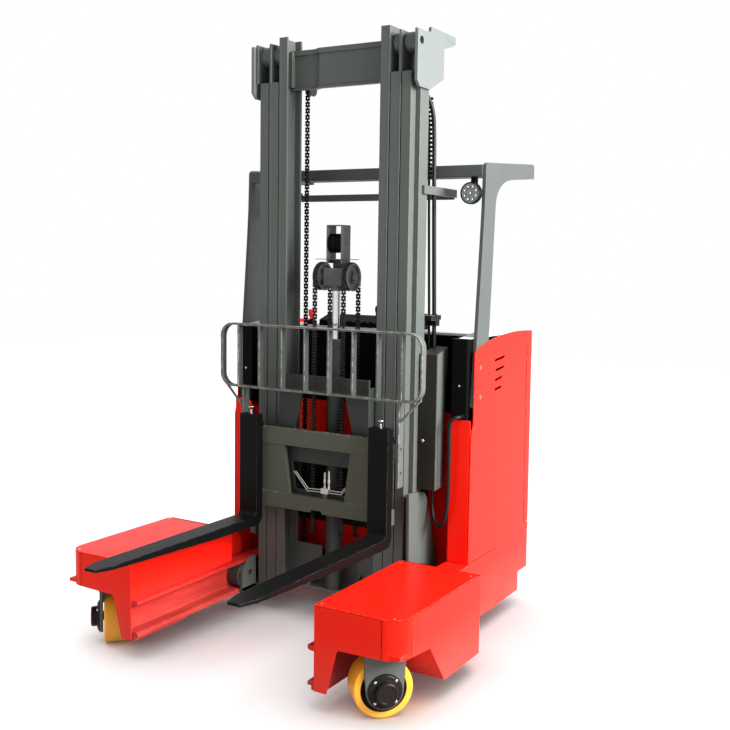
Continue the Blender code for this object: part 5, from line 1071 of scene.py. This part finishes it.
# Weld beads between the webs and the bars.
for z, way, low, high in ((918.4, -1, 197, 398), (672.1, 1, 163, 398)):
    drawn(((50.6, z), (56, z + way * 4.8), (56, z)), "x", low, high, BOTH)
soften(1)
made("fork_bar_welds", olive_grey, "fork_carriage")
for side in BOTH:
    lathe(((0, 0), (7.9, 0), (7.9, 76), (6.5, 77.5), (0, 77.5)), (side * 225, 72.6, 720), Y, 28)
made("tilt_rods", chrome, "fork_carriage")
for side in BOTH:
    lathe(((0, -0.1), (4, 0), (6.2, 0.6), (6.2, 2), (0, 2)), (side * 216, 50.2, 965), Y, 20)
made("fork_bar_screws", olive_grey, "fork_carriage", slot="bright_steel")


# The tilt pipes: two thin bare steel pipes run one above the other to the tilt cylinders from a small steel
# block. The block stands on the lower bar on a short foot, and two hose fittings rise from it.
bare_steel = finish("bare pipe steel", (0.36, 0.36, 0.33), 0.45, metallic=0.35,
    grain_scale=500)
BLOCK_X = 40
bar((BLOCK_X - 19, BLOCK_X + 19), (60.2, 77.8), (696, 723.5))
soften(3, 3)
for x, top in ((BLOCK_X - 1, 803), (BLOCK_X + 23, 812)):
    lathe(((0, 720), (5.8, 720), (5.8, 732), (3.6, 735), (3.6, 748), (6.2, 751), (6.2, 768), (4, 771),
        (4.8, 780), (3.8, top), (0, top)), (x, 72, 0), Z, 20)
made("valve_block", bare_steel, "fork_carriage")
bar((BLOCK_X - 10, BLOCK_X + 10), (66, 75.8), (672.4, 698))
made("valve_stand", olive_grey, "fork_carriage")
# The pipes' routes are in metres.
for number, rise, nodes in ((1, -0.006, ["tilt_pipes"]), (2, 0.006, [])):
    bends = (
        (-0.14 + rise, 0.788 - rise), (-0.07 + rise * 0.4, 0.714), (-0.06 + rise * 0.4, 0.7035),
        (-0.048, 0.705), (BLOCK_X * MM, 0.709), (0.128, 0.7095), (0.138, 0.713), (0.158, 0.735),
    )
    route = [(x, 0.072, z + rise) for x, z in bends]
    hose_curve(f"tilt_pipe_{number}", smooth_route(route, 5), 0.0021, bare_steel, "fork_carriage", *nodes)


# The forks: forged steel blades with a bent heel, hooked on the carriage's bars and painted satin black. A
# spring pin with a knob locks each on the notched bar.
fork_black = finish("fork black paint", (0.003, 0.003, 0.003), 0.34, gleam=0.05, mottle=0.2,
    mottle_scale=7, grain=0.05, grain_scale=140, wear=(0.02, 0.02, 0.02))
for hand, side in SIDES:
    centre = side * 379
    heel = [(50, 1064.5), (0.2, 1064.5), (0.2, 572)]
    for step in range(1, 9):
        angle = math.pi / 2 * step / 8
        heel.append((-25.8 + 26 * math.cos(angle), 572 - 26 * math.sin(angle)))
    heel = [(y, z) if z > 546 else (y, 546) for y, z in heel]
    blade = [*heel, (-1067.6, 546), (-1067.6, 532.2), (-300, 500.2), (10, 496.2), (24, 499), (34, 506.2),
        (44, 518), (49.8, 530.2)]
    drawn(blade, "x", centre - 53.8, centre + 53.8)
    # The tip tapers in plan and its corners are rounded.
    for way in (1, -1):
        bmesh.ops.bisect_plane(work, geom=work.verts[:] + work.edges[:] + work.faces[:],
            plane_co=(centre + way * 53.8, -990, 0), plane_no=(way * 95.6, -29.2, 0), clear_outer=True)
        bmesh.ops.holes_fill(work, edges=[edge for edge in work.edges if edge.is_boundary])
    soften(2.6, 3, 20)
    made(f"fork_blade_{hand}", fork_black, "fork_carriage", f"fork_{hand}")

    # The hook over the top bar, with the pin's housing.
    hook = rounded(((46.2, 1003.4, 0), (62.2, 1003.4, 4), (62.2, 1024.6, 6), (46.2, 1024.6, 0)), 4)
    drawn(hook, "x", centre - 53.6, centre + 53.6)
    soften(1.6)
    made(f"fork_hook_{hand}", fork_black, "fork_carriage")
    lathe(((0, -2), (7.8, -2), (7.8, 6), (4.6, 7.5), (4.6, 20), (8, 22), (15.2, 31.8), (15.8, 34.5),
        (15, 36.2), (6, 37.8), (0, 38)), (centre, 26, 1064.5), Z, 32)
    made(f"fork_pin_{hand}", screw_steel, "fork_carriage")


# The load backrest: a bent flat bar with thin uprights welded in, on two bolted supports, in the carriage's
# grey. A brace stiffens each lower corner.
rest_grey = finish("backrest grey paint", (0.066, 0.072, 0.065), 0.36, gleam=0.22, mottle=0.08,
    mottle_scale=6, grain=0.15, grain_scale=200, wear=(0.4, 0.4, 0.38))
ring_out = rounded(((-585.8, 1190.2, 70), (585.8, 1190.2, 70), (585.8, 1515.8, 70), (-585.8, 1515.8, 70)), 12)
ring_in = rounded(((-576.2, 1199.8, 60), (576.2, 1199.8, 60), (576.2, 1506.2, 60), (-576.2, 1506.2, 60)), 12)
drawn(ring_out, "y", 35.2, 74.8, holes=[ring_in])
for x in (-475, -345, -207, -69, 69, 207, 345, 475):
    bar((x - 4.6, x + 4.6), (37.4, 72.6), (1194.5, 1511.5))
bar((448.4, 461.6), (52.7, 99.9), (780.4, 1193.6), BOTH)
brace = ((574, 1218), (574, 1203), (457, 1082), (457, 1097))
drawn(brace, "y", 55.2, 64.8, BOTH)
bar((430.5, 452), (54.5, 77.9), (923.4, 992.6), BOTH)
soften(1.4, 3)
made("backrest_frame", rest_grey, "fork_carriage", "load_backrest")
for side in BOTH:
    for z in (850, 965):
        lathe(((0, -0.5), (6.8, -0.5), (7.8, 0.4), (7.8, 1.2), (0, 1.2)), (side * 461.2, 76, z),
            (side, 0, 0), 6)
made("backrest_bolts", dark_fastener, "fork_carriage", slot="bright_steel")


# The drive unit: a steered fork of cast steel holds a solid rubber wheel under the turntable, and the gear
# case with its studs closes the wheel's outer side.
DRIVE_HUB = (-400, 855, 150)
wheel_rubber = finish("solid wheel rubber", (0.018, 0.018, 0.019), 0.7, mottle=0.2, grain=0.5,
    grain_scale=140, wear=(0.08, 0.075, 0.07), dust=0.6)
lathe(((100.2, -45), (141, -45), (146.2, -43.2), (149, -39.5), (150, -35), (150, 35), (149, 39.5),
    (146.2, 43.2), (141, 45), (100.2, 45)), DRIVE_HUB, X, 72, ring=True)
made("drive_tyre", wheel_rubber, "drive_roller", "drive_wheel", angle=30)
lathe(((26.2, -32.5), (80, -32.5), (90, -33.5), (99.8, -44.5), (99.8, 44.5), (90, 33.5), (80, 32.5),
    (26.2, 32.5)), DRIVE_HUB, X, 56, ring=True)
for y, z in ringed(*DRIVE_HUB[1:], 60, 7):
    lathe(((0, 0), (7, 0), (8, 1), (8, 9), (6, 10), (0, 10)), (-432.5, y, z), (-1, 0, 0), 6)
made("drive_hub", steel_black, "drive_roller")
bar((-479.6, -319.6), (785.6, 924.4), (330.2, 359.6))
leg = rounded(((795.4, 350, 0), (795.4, 80.4, 45), (914.6, 80.4, 45), (914.6, 350, 0)), 10)
drawn(leg, "x", -348.8, -319.4)
soften(3, 3)
lathe(((0, 0), (23, 0), (24.8, 2), (24.8, 95.5), (0, 95.5)), (-444.6, 855, 150), X, 40)
lathe(((0, 356), (88.5, 356), (89.8, 358), (89.8, 378), (88, 379.4), (0, 379.4)), (-400, 855, 0), Z, 56)
lathe(((0, 378), (39.8, 378), (39.8, 400), (38, 401.8), (0, 401.8)), (-400, 855, 0), Z, 40)
made("drive_fork", steel_black, "drive_steer", "drive_yoke")


# The caster: a swivel head of bare steel is bolted to the floor's plate, and its fork holds a small yellow
# wheel.
CASTER_HUB = (420, 845, 90)
lathe(((66.5, -24), (72, -29.8), (83, -30), (87.8, -27.5), (90, -22.5), (90, 22.5), (87.8, 27.5), (83, 30),
    (72, 29.8), (66.5, 24)), CASTER_HUB, X, 64, ring=True)
made("caster_tyre", yellow_tyre, "caster_roller", "caster_wheel", angle=30)
lathe(((13.2, -29.8), (38, -29.8), (40, -29), (46, -23.6), (66.2, -23.6), (66.2, 23.6), (46, 23.6), (40, 29),
    (38, 29.8), (13.2, 29.8)), CASTER_HUB, X, 48, ring=True)
made("caster_hub", brown_hub, "caster_roller", angle=30)
bar((376.4, 463.6), (750.4, 859.6), (190.2, 199.8))
for low in (377.4, 453.4):
    prong = rounded(((755.4, 198, 0), (817.4, 60.4, 18), (872.6, 60.4, 18), (857.6, 198, 0)), 6)
    drawn(prong, "x", low, low + 9.2)
soften(1.6)
lathe(((0, 198.5), (43, 198.5), (44.8, 200.5), (44.8, 226.2), (43, 227.8), (0, 227.8)), (420, 800, 0), Z, 48)
lathe(((0, 0), (10.5, 0), (11.8, 1.4), (11.8, 82.4), (10.5, 83.8), (0, 83.8)), (378.1, 845, 90), X, 28)
made("caster_prongs", screw_steel, "caster_swivel", "caster_fork")
